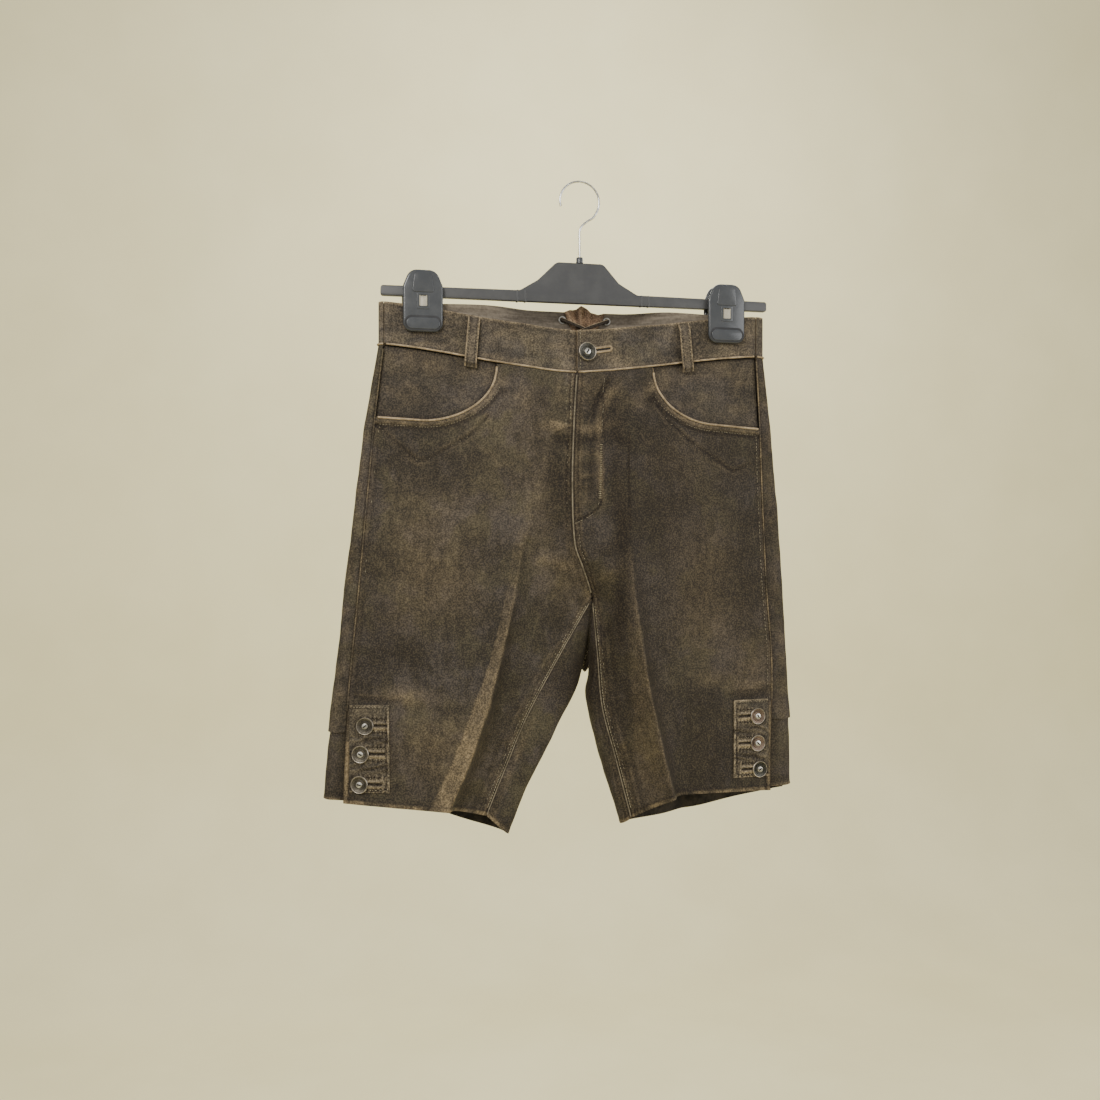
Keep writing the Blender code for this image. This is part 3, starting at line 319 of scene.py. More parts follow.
def table_at(table, v):
    """The table's row at v, each column run through its rows by a smooth cubic."""
    last = len(table) - 1
    v = min(max(v, table[0].v), table[last].v)
    k = 0
    while k < last - 1 and v > table[k + 1].v:
        k += 1
    a, b = table[k], table[k + 1]
    before = table[k - 1] if k > 0 else a
    after = table[k + 2] if k + 2 <= last else b
    span = b.v - a.v
    t = (v - a.v) / span
    values = [v]
    for p0, p1, p2, p3 in list(zip(before, a, b, after))[1:]:
        slope1 = (p2 - p0) / (b.v - before.v)
        slope2 = (p3 - p1) / (after.v - a.v)
        values.append(
            (2 * t ** 3 - 3 * t ** 2 + 1) * p1 + (t ** 3 - 2 * t ** 2 + t) * span * slope1
            + (3 * t ** 2 - 2 * t ** 3) * p2 + (t ** 3 - t ** 2) * span * slope2)
    return type(a)(*values)


def seam_place(table, v):
    row = table_at(table, v)
    return Vector((row.x, row.y, row.drop))


def bow(x):
    """How far the waist stands from the bar's plane at x."""
    return PINCH + BOW * ease(1 - abs(x - BOW_MIDDLE) / BOW_HALF)


def band_hold(v):
    """How firmly the waistband's own bow holds a section: 1 at the waist, 0 some way below."""
    return 1 - ease(v / 0.168)


def middle_edge(upper, side, v):
    """A panel's inner edge: a seam of the middle down to the crotch, and then the inseam."""
    return seam_place(upper if v <= V_CROTCH else INSEAM[side], v)


def front_controls(side, v):
    """Control points of a front panel's section, from the side seam over the pressed crease."""
    row = table_at(FRONT[side], v)
    out = SIDES[side]
    seam = Vector((row.side_x, row.side_y, row.side_drop))
    ridge = Vector((row.ridge_x, row.ridge_y, row.ridge_drop))
    edge = middle_edge(CENTRE_FRONT, side, v)
    outer_foot = ridge + Vector((out * row.side_foot, row.side_fall, 0))
    inner_foot = ridge + Vector((-out * row.edge_foot, row.edge_fall, 0))
    outer_foot.z = lerp(ridge.z, seam.z, row.side_foot / abs(ridge.x - seam.x))
    inner_foot.z = lerp(ridge.z, edge.z, min(row.edge_foot / abs(ridge.x - edge.x), 0.7))
    points = [seam]
    for t in (0.13, 0.45, 0.76):
        x = lerp(seam.x, outer_foot.x, t)
        y = lerp(seam.y, outer_foot.y, t ** row.curve)
        drop = lerp(seam.z, outer_foot.z, t ** (1 + (row.curve - 1) * 0.8))
        points.append(Vector((x, lerp(y, -bow(x), band_hold(v)), drop)))
    points += [outer_foot, ridge.lerp(outer_foot, 0.25), ridge, ridge.lerp(inner_foot, 0.3),
               inner_foot, inner_foot.lerp(edge, 0.55), edge]
    return points


def back_controls(side, v):
    """Control points of a back panel's section: round the outer fold, across the back,
    and round the inner fold to the middle seam."""
    row = table_at(BACK[side], v)
    front = table_at(FRONT[side], v)
    out = SIDES[side]
    seam = Vector((front.side_x, front.side_y, front.side_drop))
    edge = middle_edge(SEAT, side, v)
    r = row.fold_r
    near = Vector((lerp(seam.x, row.fold_x, 0.62), lerp(seam.y, -r, 0.55), seam.z + 0.5))
    fold = Vector((row.fold_x, 0, seam.z + 1 - 2.5 * v))
    behind = Vector((row.fold_x - out * r * 0.7, r * 1.15, seam.z + 1.5 - 2.5 * v))
    ridge = Vector((row.ridge_x, row.ridge_y, row.ridge_drop))
    first = behind.lerp(ridge, 0.22)
    first.y = row.back_y
    second = behind.lerp(ridge, 0.6)
    second.y = lerp(row.back_y, row.ridge_y, 0.55)
    hold = band_hold(v)
    for point in (first, second, ridge):
        point.y = lerp(point.y, bow(point.x), hold)
    crease = ease((v - 0.35) / 0.5)
    inner = Vector((row.inner_x, row.inner_y, row.inner_drop))
    turn_back = inner + Vector((out * row.reach, row.roll, 0))
    turn_back.z = lerp(inner.z, ridge.z, 0.12)
    outer_foot = ridge.lerp(second, 0.28) + Vector((0, -3 - 7 * crease, 0))
    inner_foot = ridge.lerp(turn_back, 0.28) + Vector((0, -3 - 7 * crease, 0))
    for foot in (outer_foot, inner_foot):
        foot.y = lerp(foot.y, bow(foot.x), hold)
    third = inner_foot.lerp(turn_back, 0.55)
    leg = ease((v - V_CROTCH) / 0.1)
    turn_front = inner.lerp(edge, 0.45).lerp(inner + Vector((out * row.reach, -row.roll * 0.7, -4)), leg)
    return [seam, near, fold, behind, first, second, outer_foot, ridge, inner_foot, third,
            turn_back, inner, turn_front, edge]


CONTROLS = {"front": front_controls, "back": back_controls}
print("a front section has", len(front_controls("right", 0.5)), "control points, a back one",
      len(back_controls("right", 0.5)))

# %% [markdown]
# ## The panels as surfaces
#
# Working point by point would be slow, so each panel is worked out once as a fine grid, and everything else
# reads that grid. It also keeps how far each point lies from the seams and hems, measured along the
# leather. Stitches, worn edges and puckers are placed by those distances, as with a tailor's rule.

# %% Surface grids
ROWS, COLUMNS = 480, 220
span = np.linspace
V_LINE, U_LINE = span(0, 1, ROWS), span(0, 1, COLUMNS)


def spline_weights(places, count):
    """The share of each of count control points at each place along a clamped cubic B-spline."""
    degree = 3
    spans = count - degree
    knots = np.clip(np.arange(count + degree + 1) - degree, 0, spans)
    x = np.clip(places, 0, 1) * spans
    weights = np.zeros((len(places), count + degree))
    weights[np.arange(len(places)), np.minimum(x.astype(int), spans - 1) + degree] = 1
    for step in range(1, degree + 1):
        raised = np.zeros_like(weights)
        for i in range(count + degree - step):
            rise = knots[i + step] - knots[i]
            fall = knots[i + step + 1] - knots[i + 1]
            if rise:
                raised[:, i] += (x - knots[i]) / rise * weights[:, i]
            if fall:
                raised[:, i] += (knots[i + step + 1] - x) / fall * weights[:, i + 1]
        weights = raised
    return weights[:, :count]


def pair(u, v):
    """Two sets of numbers as arrays of one shape."""
    return np.broadcast_arrays(np.asarray(u, float), np.asarray(v, float))


def run_lengths(spots, axis):
    """How far each point of a grid lies along its own row (axis 1) or column (axis 0)."""
    steps = np.linalg.norm(np.diff(spots, axis=axis), axis=-1).cumsum(axis=axis)
    return np.pad(steps, ((0, 0), (1, 0)) if axis else ((1, 0), (0, 0)))


def unit(vectors):
    return vectors / np.maximum(np.linalg.norm(vectors, axis=-1, keepdims=True), 1e-12)


def bump(distance, width):
    """1 on a line, fading softly to 0 over its width."""
    return np.exp(-(distance / width) ** 2)


class Skin:
    """A leather panel's outer face as grids over v (rows) and u (columns)."""

    def __init__(self, face, side):
        self.face, self.side = face, side
        controls = np.array([CONTROLS[face](side, v) for v in V_LINE])
        spots = np.einsum("un,vnc->vuc", spline_weights(U_LINE, controls.shape[1]), controls)
        self.x, self.drop = spots[..., 0].copy(), spots[..., 2].copy()
        spots[..., 2] = WAIST_Z - spots[..., 2]
        self.plain = spots
        self.turn = SIDES[side] * (1 if face == "front" else -1)
        self.normals = self.facing(spots)
        self.from_side, self.from_waist = run_lengths(spots, 1), run_lengths(spots, 0)
        self.from_middle = self.from_side[:, -1:] - self.from_side
        self.from_hem = self.from_waist[-1:] - self.from_waist
        # the wear field also carries painted highlights, and the grime field also carries painted shade
        self.relief, self.worn, self.grime = (np.zeros_like(self.x) for _ in range(3))

    def facing(self, spots):
        across, down = np.gradient(spots, axis=1), np.gradient(spots, axis=0)
        return unit(np.cross(across, down)) * self.turn

    def dress(self):
        """Adds the relief to the points."""
        self.dressed = self.plain + self.normals * self.relief[..., None]

    def read(self, field, u, v):
        """A grid's values at arrays of u and v."""
        u, v = pair(u, v)
        row, col = np.clip(v, 0, 1) * (ROWS - 1), np.clip(u, 0, 1) * (COLUMNS - 1)
        i, j = np.minimum(row.astype(int), ROWS - 2), np.minimum(col.astype(int), COLUMNS - 2)
        a, b = row - i, col - j
        if field.ndim == 3:
            a, b = a[..., None], b[..., None]
        upper = field[i, j] * (1 - b) + field[i, j + 1] * b
        lower = field[i + 1, j] * (1 - b) + field[i + 1, j + 1] * b
        return upper * (1 - a) + lower * a

    def at(self, u, v, lift=0.0, dressed=True):
        """Points in metres at arrays of u and v, moved out by lift millimetres."""
        spots = self.read(self.dressed if dressed else self.plain, u, v)
        return (spots + self.read(self.normals, u, v) * np.asarray(lift)[..., None]) * MM

    def locate(self, x, drop):
        """The u and v of a point with this x and drop."""
        first = 0 if self.face == "front" else COLUMNS // 5
        far = (self.x[:, first:] - x) ** 2 + (self.drop[:, first:] - drop) ** 2
        i, j = np.unravel_index(far.argmin(), far.shape)
        i, j = min(max(i, 1), ROWS - 2), min(max(j + first, 1), COLUMNS - 2)
        steps = [[(field[i, j + 1] - field[i, j - 1]) / 2, (field[i + 1, j] - field[i - 1, j]) / 2]
                 for field in (self.x, self.drop)]
        move = np.linalg.solve(steps, [x - self.x[i, j], drop - self.drop[i, j]])
        move = np.clip(move, -1, 1)
        return (j + move[0]) / (COLUMNS - 1), (i + move[1]) / (ROWS - 1)


SKINS = {(face, side): Skin(face, side) for face in ("front", "back") for side in SIDES}


def share_normals(a, column_a, b, column_b, rows):
    """Sewn edges turn the same way, and ease into their own panels over a few columns."""
    mean = unit(a.normals[rows, column_a] + b.normals[rows, column_b])
    for skin, column in ((a, column_a), (b, column_b)):
        step = 1 if column == 0 else -1
        for k in range(5):
            share = ease(k / 5)
            own = skin.normals[rows, column + step * k]
            skin.normals[rows, column + step * k] = unit(mean * (1 - share) + own * share)


above_crotch = V_LINE <= V_CROTCH
for side in SIDES:
    share_normals(SKINS["front", side], 0, SKINS["back", side], 0, slice(None))
    share_normals(SKINS["front", side], -1, SKINS["back", side], -1, ~above_crotch)
for face in ("front", "back"):
    share_normals(SKINS[face, "right"], -1, SKINS[face, "left"], -1, above_crotch)
for key, skin in SKINS.items():
    print(key, "hem", round(skin.from_side[-1, -1]), "mm, side seam", round(skin.from_waist[-1, 0]), "mm")

# %% [markdown]
# ## Folds in the leather
#
# Thick split leather does not crumple; it takes a few soft folds where the wearer sits and bends. Cloth
# simulation would iron these out again, so each fold is laid down one by one: two ends, a width and a
# height, above or below the surface. The hidden back gets its own, at the seat and the knees.

# %% Folds laid one by one
# both ends' x and drop, then the width and the height, in mm
FOLDS = {
    ("front", "right"): [
        (-40, 127, -14, 132, 4.5, 1), (-36, 137, -15, 147, 6, -1.3), (-20, 240, -72, 208, 9, -0.8),
        (-6, 274, -58, 262, 7, 0.8), (0, 290, -44, 300, 8, -0.8), (-40, 80, -43, 120, 6, -0.7),
        (-58, 84, -63, 114, 6, 0.6), (-27, 78, -27, 108, 5, 0.6), (-150, 190, -118, 330, 30, 1.3),
        (-188, 235, -200, 375, 24, -1.1), (-108, 158, -160, 186, 12, -0.7), (-236, 402, -185, 404, 4, -0.9),
        (-196, 398, -160, 406, 5, 0.7), (-215, 346, -150, 370, 13, -0.8), (-190, 440, -128, 428, 16, 0.7),
        (-120, 225, -88, 300, 14, -0.7), (-170, 290, -205, 330, 10, 0.6), (-150, 470, -185, 498, 12, -0.6)],
    ("front", "left"): [
        (28, 76, 5, 117, 3.2, -1.7), (36, 80, 13, 122, 4.5, 1.1), (21, 80, 16, 208, 3, 1),
        (9, 130, 7, 205, 3.5, -0.7), (-10, 134, 12, 128, 3.5, 0.8), (-10, 142, 14, 140, 3, -0.8),
        (-11, 155, 13, 152, 3, 0.7), (-12, 166, 13, 165, 3, -0.6), (-12, 178, 12, 175, 3.5, 0.7),
        (-13, 192, 10, 190, 3, -0.7), (-14, 205, 8, 202, 3.5, 0.6), (4, 126, 36, 118, 5, 0.9),
        (22, 133, 58, 149, 6, -0.8), (12, 284, 48, 264, 7, 0.8), (10, 262, 42, 236, 7, -0.8),
        (52, 118, 98, 170, 10, -0.7), (150, 215, 120, 360, 28, 1.2), (183, 255, 190, 385, 18, -0.9),
        (160, 400, 207, 396, 5, 0.9), (162, 410, 206, 408, 3, -0.9), (152, 425, 120, 505, 12, 0.6),
        (84, 190, 110, 260, 12, 0.6), (30, 150, 34, 240, 6, -0.7)],
    ("back", "right"): [
        (-60, 60, -52, 130, 9, -0.9), (-110, 64, -118, 150, 12, 0.9), (-20, 300, -110, 268, 10, -1.5),
        (-14, 322, -120, 300, 9, 1.2), (-24, 345, -96, 335, 8, -1.2), (-150, 200, -180, 330, 26, 1.4),
        (-205, 150, -215, 280, 18, -1), (-60, 160, -70, 250, 16, 0.9), (-120, 400, -190, 416, 12, -1),
        (-110, 450, -170, 438, 11, 0.8), (-200, 440, -238, 480, 10, -0.7), (-30, 90, -34, 180, 8, 0.8)],
    ("back", "left"): [
        (66, 58, 60, 120, 9, -0.9), (120, 62, 128, 140, 12, 0.8), (38, 302, 118, 276, 10, -1.4),
        (34, 326, 128, 302, 9, 1.2), (40, 348, 104, 340, 8, -1.1), (150, 210, 172, 320, 24, 1.3),
        (190, 140, 200, 290, 18, -1), (74, 170, 82, 240, 15, 0.8), (110, 396, 180, 420, 12, -1),
        (100, 455, 150, 440, 11, 0.8), (190, 450, 222, 486, 10, -0.7), (44, 96, 46, 190, 8, 0.8)],
}


def fold_relief(skin, x0, drop0, x1, drop1, width, height):
    """A soft ridge or trough between two ends, on the side of the panel that shows it."""
    x, drop = skin.x - x0, skin.drop - drop0
    run = x1 - x0, drop1 - drop0
    length = np.hypot(*run)
    along = (x * run[0] + drop * run[1]) / length ** 2
    away = (x * run[1] - drop * run[0]) / length
    away = away + 0.05 * length * np.sin(math.pi * np.clip(along, 0, 1))
    ends = ease((along + 0.12) / 0.45) * ease((1.12 - along) / 0.45)
    shown = 1.0 if skin.face == "front" else ease((skin.from_side - 22) / 15)
    return height * bump(away, width) * ends * shown


def spread(grid, rows, columns):
    """A coarse grid read finely, straight between its points."""
    for axis, count in ((0, rows), (1, columns)):
        place = span(0, grid.shape[axis] - 1, count)
        k = np.minimum(place.astype(int), grid.shape[axis] - 2)
        share = np.expand_dims(place - k, (1 - axis, 2))
        grid = grid.take(k, axis) * (1 - share) + grid.take(k + 1, axis) * share
    return grid


def mottled(skin, size, seed):
    """Uneven hills about this many millimetres across, the same on each run."""
    down, over = ROWS // 4, COLUMNS // 4
    u, v = np.meshgrid(span(0, 1, over), span(0, 1, down))
    spots = skin.read(skin.plain, u, v) / size + seed
    coarse = np.reshape([noise.noise(Vector(spot)) for spot in spots.reshape(-1, 3)], (down, over, 1))
    return spread(coarse, ROWS, COLUMNS)[..., 0]


for key, skin in SKINS.items():
    for fold in FOLDS[key]:
        shape = fold_relief(skin, *fold)
        sharp = 1.0 if fold[4] < 8 else 0.35
        skin.relief += shape
        # crests paled as wear and painted highlight, troughs darkened as grime and painted shade
        skin.worn += 0.26 * sharp * np.clip(shape, 0, 2)
        skin.grime += 0.42 * sharp * np.clip(-shape, 0, 2)
    skin.relief += 1.1 * mottled(skin, 55, 3.1) + 0.6 * mottled(skin, 17, 7.7)
    print(key, len(FOLDS[key]), "folds, up to", round(skin.relief.max(), 1), "mm high")

# %% [markdown]
# ## Seams, hems and wear
#
# A sewn seam pulls the leather down at the thread and leaves a small swell beside it, where the turned
# allowance lies underneath. A normal map could fake this, but real relief also changes the outline, so it
# is added to the grids in millimetres.

# %% Seams and hems
TOPSTITCH = 6.0           # from the seam to the row of stitches beside it
MOUTH_STITCH = 7.5
HEM_TURN = 5.0


def mouth_distance(skin):
    """Millimetres below the pocket's mouth, less than 0 inside the opening."""
    centre_x, centre_drop, half_width, depth, side_drop = POCKET[skin.side]
    across = (skin.x - centre_x) * -SIDES[skin.side]
    below = skin.drop - centre_drop
    scaled = np.sqrt((across / half_width) ** 2 + (below / depth) ** 2)
    round_part = np.hypot(across, below) * (1 - 1 / np.maximum(scaled, 1e-6))
    run = np.clip((skin.x - centre_x) / (FRONT[skin.side][1].side_x - centre_x), 0, 1)
    level_part = skin.drop - (centre_drop + depth + (side_drop - centre_drop - depth) * run)
    return np.where(across > 0, round_part, level_part)


def sewn(distance, stitch=TOPSTITCH):
    """A seam's profile by distance: pulled down at the seam, swollen beside it, pinched at the stitches."""
    swell = 0.55 * bump(distance - stitch * 0.5, stitch * 0.33)
    pinch = -0.3 * bump(distance - stitch, 1.1)
    return swell + pinch - 0.25 * bump(distance, 1.5)


for (face, side), skin in SKINS.items():
    edges = np.minimum(skin.from_side, skin.from_middle)
    skin.relief *= ease(edges / 7) * ease(skin.from_waist / 5)
    skin.relief += sewn(skin.from_side) * (0.8 if face == "front" else 0.25)
    skin.relief += sewn(skin.from_middle)
    skin.relief += 0.5 * ease((HEM_TURN + 1 - skin.from_hem) / 1.5)
    if face == "front":
        skin.mouth = mouth_distance(skin)
        roll, dent = bump(skin.mouth - 4.0, 2.8), bump(skin.mouth - MOUTH_STITCH - 1, 1.3)
        skin.relief += 1.1 * roll - 0.6 * dent
    print(face, side, "relief down to", round(float(skin.relief.min()), 1), "mm in the seams")

# %% [markdown]
# ## Pocket bags and small creases
#
# The pocket bags lie loose behind the fronts, and their seams press through as a ridge with a groove beside
# it; the groove is darkened with grime and painted shade, and the ridge paled with wear and a painted
# highlight. Fine pale and dark lines at the fly, the knees and the corners are small creases, drawn as
# painted highlights and painted shade over a little relief. Each one is a line through points of x and
# drop, and whatever is painted along it fades with the distance.

# %% Pocket bags
BAG_SEAMS = {
    "right": [(-210, 128), (-197, 141), (-183, 153), (-170, 164), (-162, 163), (-154, 159),
        (-135, 147), (-118, 138), (-100, 118)],
    "left": [(70, 84), (78, 102), (92, 120), (114, 138), (140, 154), (166, 170), (186, 162)],
}
# width, the strength of its painted highlight, the strength of its painted shade, and then the line's points
LINES = {
    "right": [
        (1.1, 0, 0.55, (-12, 130), (-22, 131), (-32, 134)),
        (1.3, 0.3, 0, (-12, 127), (-24, 127), (-38, 123)),
        (1.4, 0.16, 0, (-66, 82), (-70, 100), (-78, 114)),
        (1.2, 0, 0.3, (-80, 84), (-84, 104), (-94, 122)),
        (1.3, 0.18, 0, (-108, 150), (-96, 158), (-90, 170)),
        (1.3, 0.16, 0, (-230, 398), (-200, 402), (-168, 396)),
        (1.2, 0, 0.35, (-212, 352), (-196, 360), (-180, 358))],
    "left": [
        (1.2, 0, 0.95, (24, 80), (19, 89), (12, 100), (8, 109), (6.6, 118)),
        (1.1, 0, 0.9, (15.2, 203), (12.5, 210), (6, 216), (-2, 220.5), (-10, 223)),
        (1.3, 0, 0.5, (45, 133), (43, 169), (45, 232)),
        (1.2, 0, 0.45, (18.5, 84), (17, 110), (18, 140)),
        (1.3, 0.24, 0, (36, 122), (24, 126), (10, 132)),
        (1.2, 0.26, 0, (3, 118), (1, 128), (4, 138)),
        (1.2, 0.28, 0, (-1, 186), (-2, 200)),
        (1.2, 0.2, 0, (60, 176), (66, 150), (58, 132)),
        (1.3, 0.18, 0, (154, 400), (178, 395), (204, 397)),
        (1.2, 0, 0.4, (158, 408), (180, 404), (204, 405))],
}


def line_distance(skin, points):
    """Millimetres from a line of points, seen from the front."""
    best = np.full(skin.x.shape, 1e9)
    for a, b in zip(points, points[1:]):
        x, drop = skin.x - a[0], skin.drop - a[1]
        run = b[0] - a[0], b[1] - a[1]
        along = np.clip((x * run[0] + drop * run[1]) / (run[0] ** 2 + run[1] ** 2), 0, 1)
        best = np.minimum(best, np.hypot(x - along * run[0], drop - along * run[1]))
    return best


for side in SIDES:
    skin = SKINS["front", side]
    bag = line_distance(skin, BAG_SEAMS[side])
    # the bag seam: relief, a pale ridge of wear and painted highlight, and a groove of grime and painted
    # shade
    skin.relief += 0.4 * bump(bag - 3.5, 2) - 0.5 * bump(bag, 1.8)
    skin.worn += 0.28 * bump(bag - 3.0, 1.6) * (0.4 + mottled(skin, 14, 1.3))
    skin.grime += 0.75 * bump(bag, 1.7) * (0.8 + 0.8 * mottled(skin, 20, 4.9))
    # each small crease: a painted highlight, painted shade, and a little relief
    for width, worn, grime, *points in LINES[side]:
        near = bump(line_distance(skin, points), width)
        skin.worn += worn * near
        skin.grime += grime * near
        skin.relief += 0.5 * (worn - grime) * near
    print(side, len(LINES[side]), "small creases beside the bag's seam")

# %% [markdown]
# ## Wear, grime and painted light
#
# The dye has rubbed off beside the pressed creases, on the hems, at the mouths and where hands go, and dirt
# has gathered in every hollow beside a seam. Beside each pressed crease the pale band is partly wear and
# partly painted light on the lit flank, with painted shade on the other flank, and grooves, hollows and the
# crotch get painted shade. Both could be painted by hand on an image. Here they are soft bands at stated
# distances and a few oval patches, so they stay with the seams.

# %% Wear, grime and painted light
# the pale band beside the pressed crease, partly wear and partly painted light: drop, the band's width, and
# how strong it is
CREASE_WEAR_AND_LIGHT = {
    "right": [
        (72, 8, 0), (200, 9, 0.04), (300, 9, 0.16), (345, 9, 0.34), (385, 12, 0.42), (420, 15, 0.5),
        (460, 17, 0.54), (530, 21, 0.62)],
    "left": [
        (72, 8, 0.02), (150, 10, 0.1), (240, 10, 0.15), (300, 10, 0.18), (350, 12, 0.18), (420, 18, 0.16),
        (460, 24, 0.14), (530, 26, 0.1)],
}
# x and drop of a patch, its two radii, and how strong it is
RUBBED = {
    ("front", "right"): [
        (-70, 120, 50, 40, 0.11), (-180, 240, 30, 60, 0.12), (-100, 200, 45, 45, 0.08),
        (-34, 128, 16, 5, 0.24), (-170, 300, 50, 40, 0.1), (-50, 215, 20, 60, 0.14),
        (-150, 455, 50, 40, 0.19), (-185, 400, 26, 10, 0.2), (-18, 290, 30, 26, 0.16)],
    ("front", "left"): [
        (8, 90, 26, 16, 0.2), (6, 130, 16, 4, 0.34), (15, 178, 2.6, 26, 0.5), (56, 100, 14, 12, 0.22),
        (110, 160, 40, 30, 0.12), (150, 330, 50, 50, 0.13), (190, 380, 26, 24, 0.22),
        (140, 390, 24, 10, 0.18), (-10, 165, 5, 50, 0.25), (70, 440, 20, 60, 0.11),
        (120, 260, 40, 60, 0.11), (60, 480, 24, 30, 0.08)],
    ("back", "right"): [
        (-110, 170, 70, 60, 0.18), (-60, 320, 50, 20, 0.1), (-160, 440, 60, 50, 0.12)],
    ("back", "left"): [
        (110, 170, 70, 60, 0.18), (70, 320, 50, 20, 0.1), (150, 440, 60, 50, 0.12)],
}
# patches of painted shade in hollows and between the legs, in the same columns
SHADED = {
    ("front", "right"): [
        (-100, 180, 16, 40, 0.28), (-30, 175, 12, 40, 0.45), (-220, 330, 20, 90, 0.28),
        (-215, 170, 14, 60, 0.2), (-205, 440, 30, 60, 0.12), (-20, 215, 30, 40, 0.25)],
    ("front", "left"): [
        (30, 120, 14, 30, 0.4), (38, 240, 9, 80, 0.46), (100, 220, 50, 70, 0.26), (60, 190, 26, 50, 0.2),
        (130, 300, 60, 20, 0.18), (120, 470, 30, 60, 0.36), (-8, 146, 10, 8, 0.3), (36, 330, 10, 50, 0.42)],
    ("back", "right"): [
        (-200, 250, 30, 90, 0.2), (-30, 250, 16, 80, 0.2), (0, 392, 34, 34, 0.9)],
    ("back", "left"): [
        (195, 250, 30, 90, 0.2), (45, 250, 16, 80, 0.2), (12, 388, 22, 34, 0.9)],
}
# how much darker each leg is made all over
BASE_DARKENING = {"right": 0.0, "left": 0.23}


def patch_strength(skin, patches):
    total = np.zeros_like(skin.x)
    for x, drop, radius_x, radius_drop, strength in patches:
        across, down = (skin.x - x) / radius_x, (skin.drop - drop) / radius_drop
        total += strength * np.exp(-across ** 2 - down ** 2)
    return total


def crease_wear_and_light(skin):
    """The pale band of wear and painted light on one side of the pressed crease, a painted highlight
    along its ridge, and painted shade on its other side.
    """
    rows = FRONT[skin.side]
    ridge = np.interp(skin.drop, [row.ridge_drop for row in rows], [row.ridge_x for row in rows])
    drops, widths, strengths = zip(*CREASE_WEAR_AND_LIGHT[skin.side])
    width, strength = (np.interp(skin.drop, drops, column) for column in (widths, strengths))
    beside = ridge - skin.x + 1.5 * mottled(skin, 9, 6.6)
    crisp = ease((beside + 1.5) / 2.5)
    soft = 1 - ease((beside - width * 0.92) / (width * 0.16))
    low = ease((skin.drop - 200) / 120)
    band = strength * crisp * soft * (0.8 + 0.6 * mottled(skin, 6, 2.4))
    shade = 0.3 * low * ease((-beside - 0.5) / 2) * (1 - ease((-beside - 9) / 12))
    # the painted highlight along the crease's ridge
    return band + 0.22 * low * bump(beside, 1.8), shade


for key, skin in SKINS.items():
    face, side = key
    uneven = np.clip(0.55 + 1.3 * mottled(skin, 11, 5.2), 0, 1.4)
    right = side == "right"
    from_side, from_middle = skin.from_side, skin.from_middle
    worn, grime = skin.worn, skin.grime          # the grids themselves, so += changes them
    worn += patch_strength(skin, RUBBED[key])
    # painted shade from the shaded patches, and a darkening of the whole left leg
    grime += patch_strength(skin, SHADED[key]) + BASE_DARKENING[side]
    worn += 0.95 * uneven * (1 - ease((skin.from_hem - 3.2) / 1.4))
    grime += 0.4 * bump(skin.from_hem - HEM_TURN, 1.6)
    seam_edge = bump(from_middle - 3.8, 1.5) + 0.6 * bump(from_middle - TOPSTITCH - 2, 1.5)
    worn += 0.34 * uneven * seam_edge
    grime += 0.7 * bump(from_middle - 1.4, 1.1)
    grime += 0.45 * bump(from_middle - TOPSTITCH, 1.5) + 0.5 * bump(from_side, 1.6)
    if face == "front":
        leg = ease((skin.drop - (345 if right else 315)) / 25)
        # beside the inseam, a pale line and darker grooves with no relief of their own: painted highlight and
        # painted shade
        worn += 0.26 * leg * uneven * bump(from_middle - 12.5, 1.8)
        grime += leg * (0.4 * bump(from_middle - 9.6, 1.4) + 0.3 * bump(from_middle - 17, 3))
        # the crease's pale band of wear and painted light, and painted shade on its other flank
        band, shade = crease_wear_and_light(skin)
        worn += band
        grime += shade
        rolled = 0.3 if right else 0.55
        worn += rolled * bump(skin.mouth - 4.2, 2.6) * (0.5 + 0.7 * uneven)
        # a painted shadow line below the mouth's roll
        grime += 0.75 * bump(skin.mouth - MOUTH_STITCH - 2.0, 2.2)
        worn += 0.22 * bump(from_side - 2.5, 1.8) * uneven
        grime += 0.35 * bump(from_side - TOPSTITCH, 1.6)
        v = V_LINE[:, None]
        vent = ease((v - V_VENT - (0.05 if right else 0.0)) / 0.02)
        strip = 4.6 if right else 3.4
        worn += (0.12 + 0.62 * vent) * (v > V_VENT) * (1 - ease((from_side - strip) / 1.2))
        grime += 0.5 * vent * bump(from_side - strip - 1.6, 1.0)
        skin.relief += 0.4 * vent * (1 - ease((from_side - 3.5) / 1.2))
    else:
        worn += 0.22 * bump(from_side - 12, 9) * uneven
    skin.dress()
    print(key, "worn", round(float(worn.mean()), 2), "relief", round(float(skin.relief.max()), 1), "mm")

# %% [markdown]
# ## A way to write materials
#
# A leather's colour is a sum of dye, wear, grime, painted highlights and shade, and grain. Written node by
# node it would be hard to read, so a small class lets a shader value be added and multiplied like a number.
# Each operation makes the node that it stands for.

# %% Shader values
class Value:
    """A shader's number or colour that ordinary arithmetic works on."""

    def __init__(self, shader, socket):
        self.shader, self.socket = shader, socket

    def maths(self, operation, first, second=0.0, clamp=False):
        settings = {"operation": operation, "use_clamp": clamp}
        return self.shader.node("ShaderNodeMath", settings, {0: first, 1: second})

    def __add__(self, other):
        return self.maths("ADD", self, other)

    def __radd__(self, other):
        return self.maths("ADD", other, self)

    def __sub__(self, other):
        return self.maths("SUBTRACT", self, other)

    def __rsub__(self, other):
        return self.maths("SUBTRACT", other, self)

    def __mul__(self, other):
        return self.maths("MULTIPLY", self, other)

    def __rmul__(self, other):
        return self.maths("MULTIPLY", other, self)

    def clamped(self):
        return self.maths("ADD", self, 0.0, clamp=True)

    def between(self, low, high):
        """0 below low, 1 above high, and a soft step from one to the other."""
        settings = {"interpolation_type": "SMOOTHSTEP"}
        sockets = {"Value": self, "From Min": low, "From Max": high}
        return self.shader.node("ShaderNodeMapRange", settings, sockets)


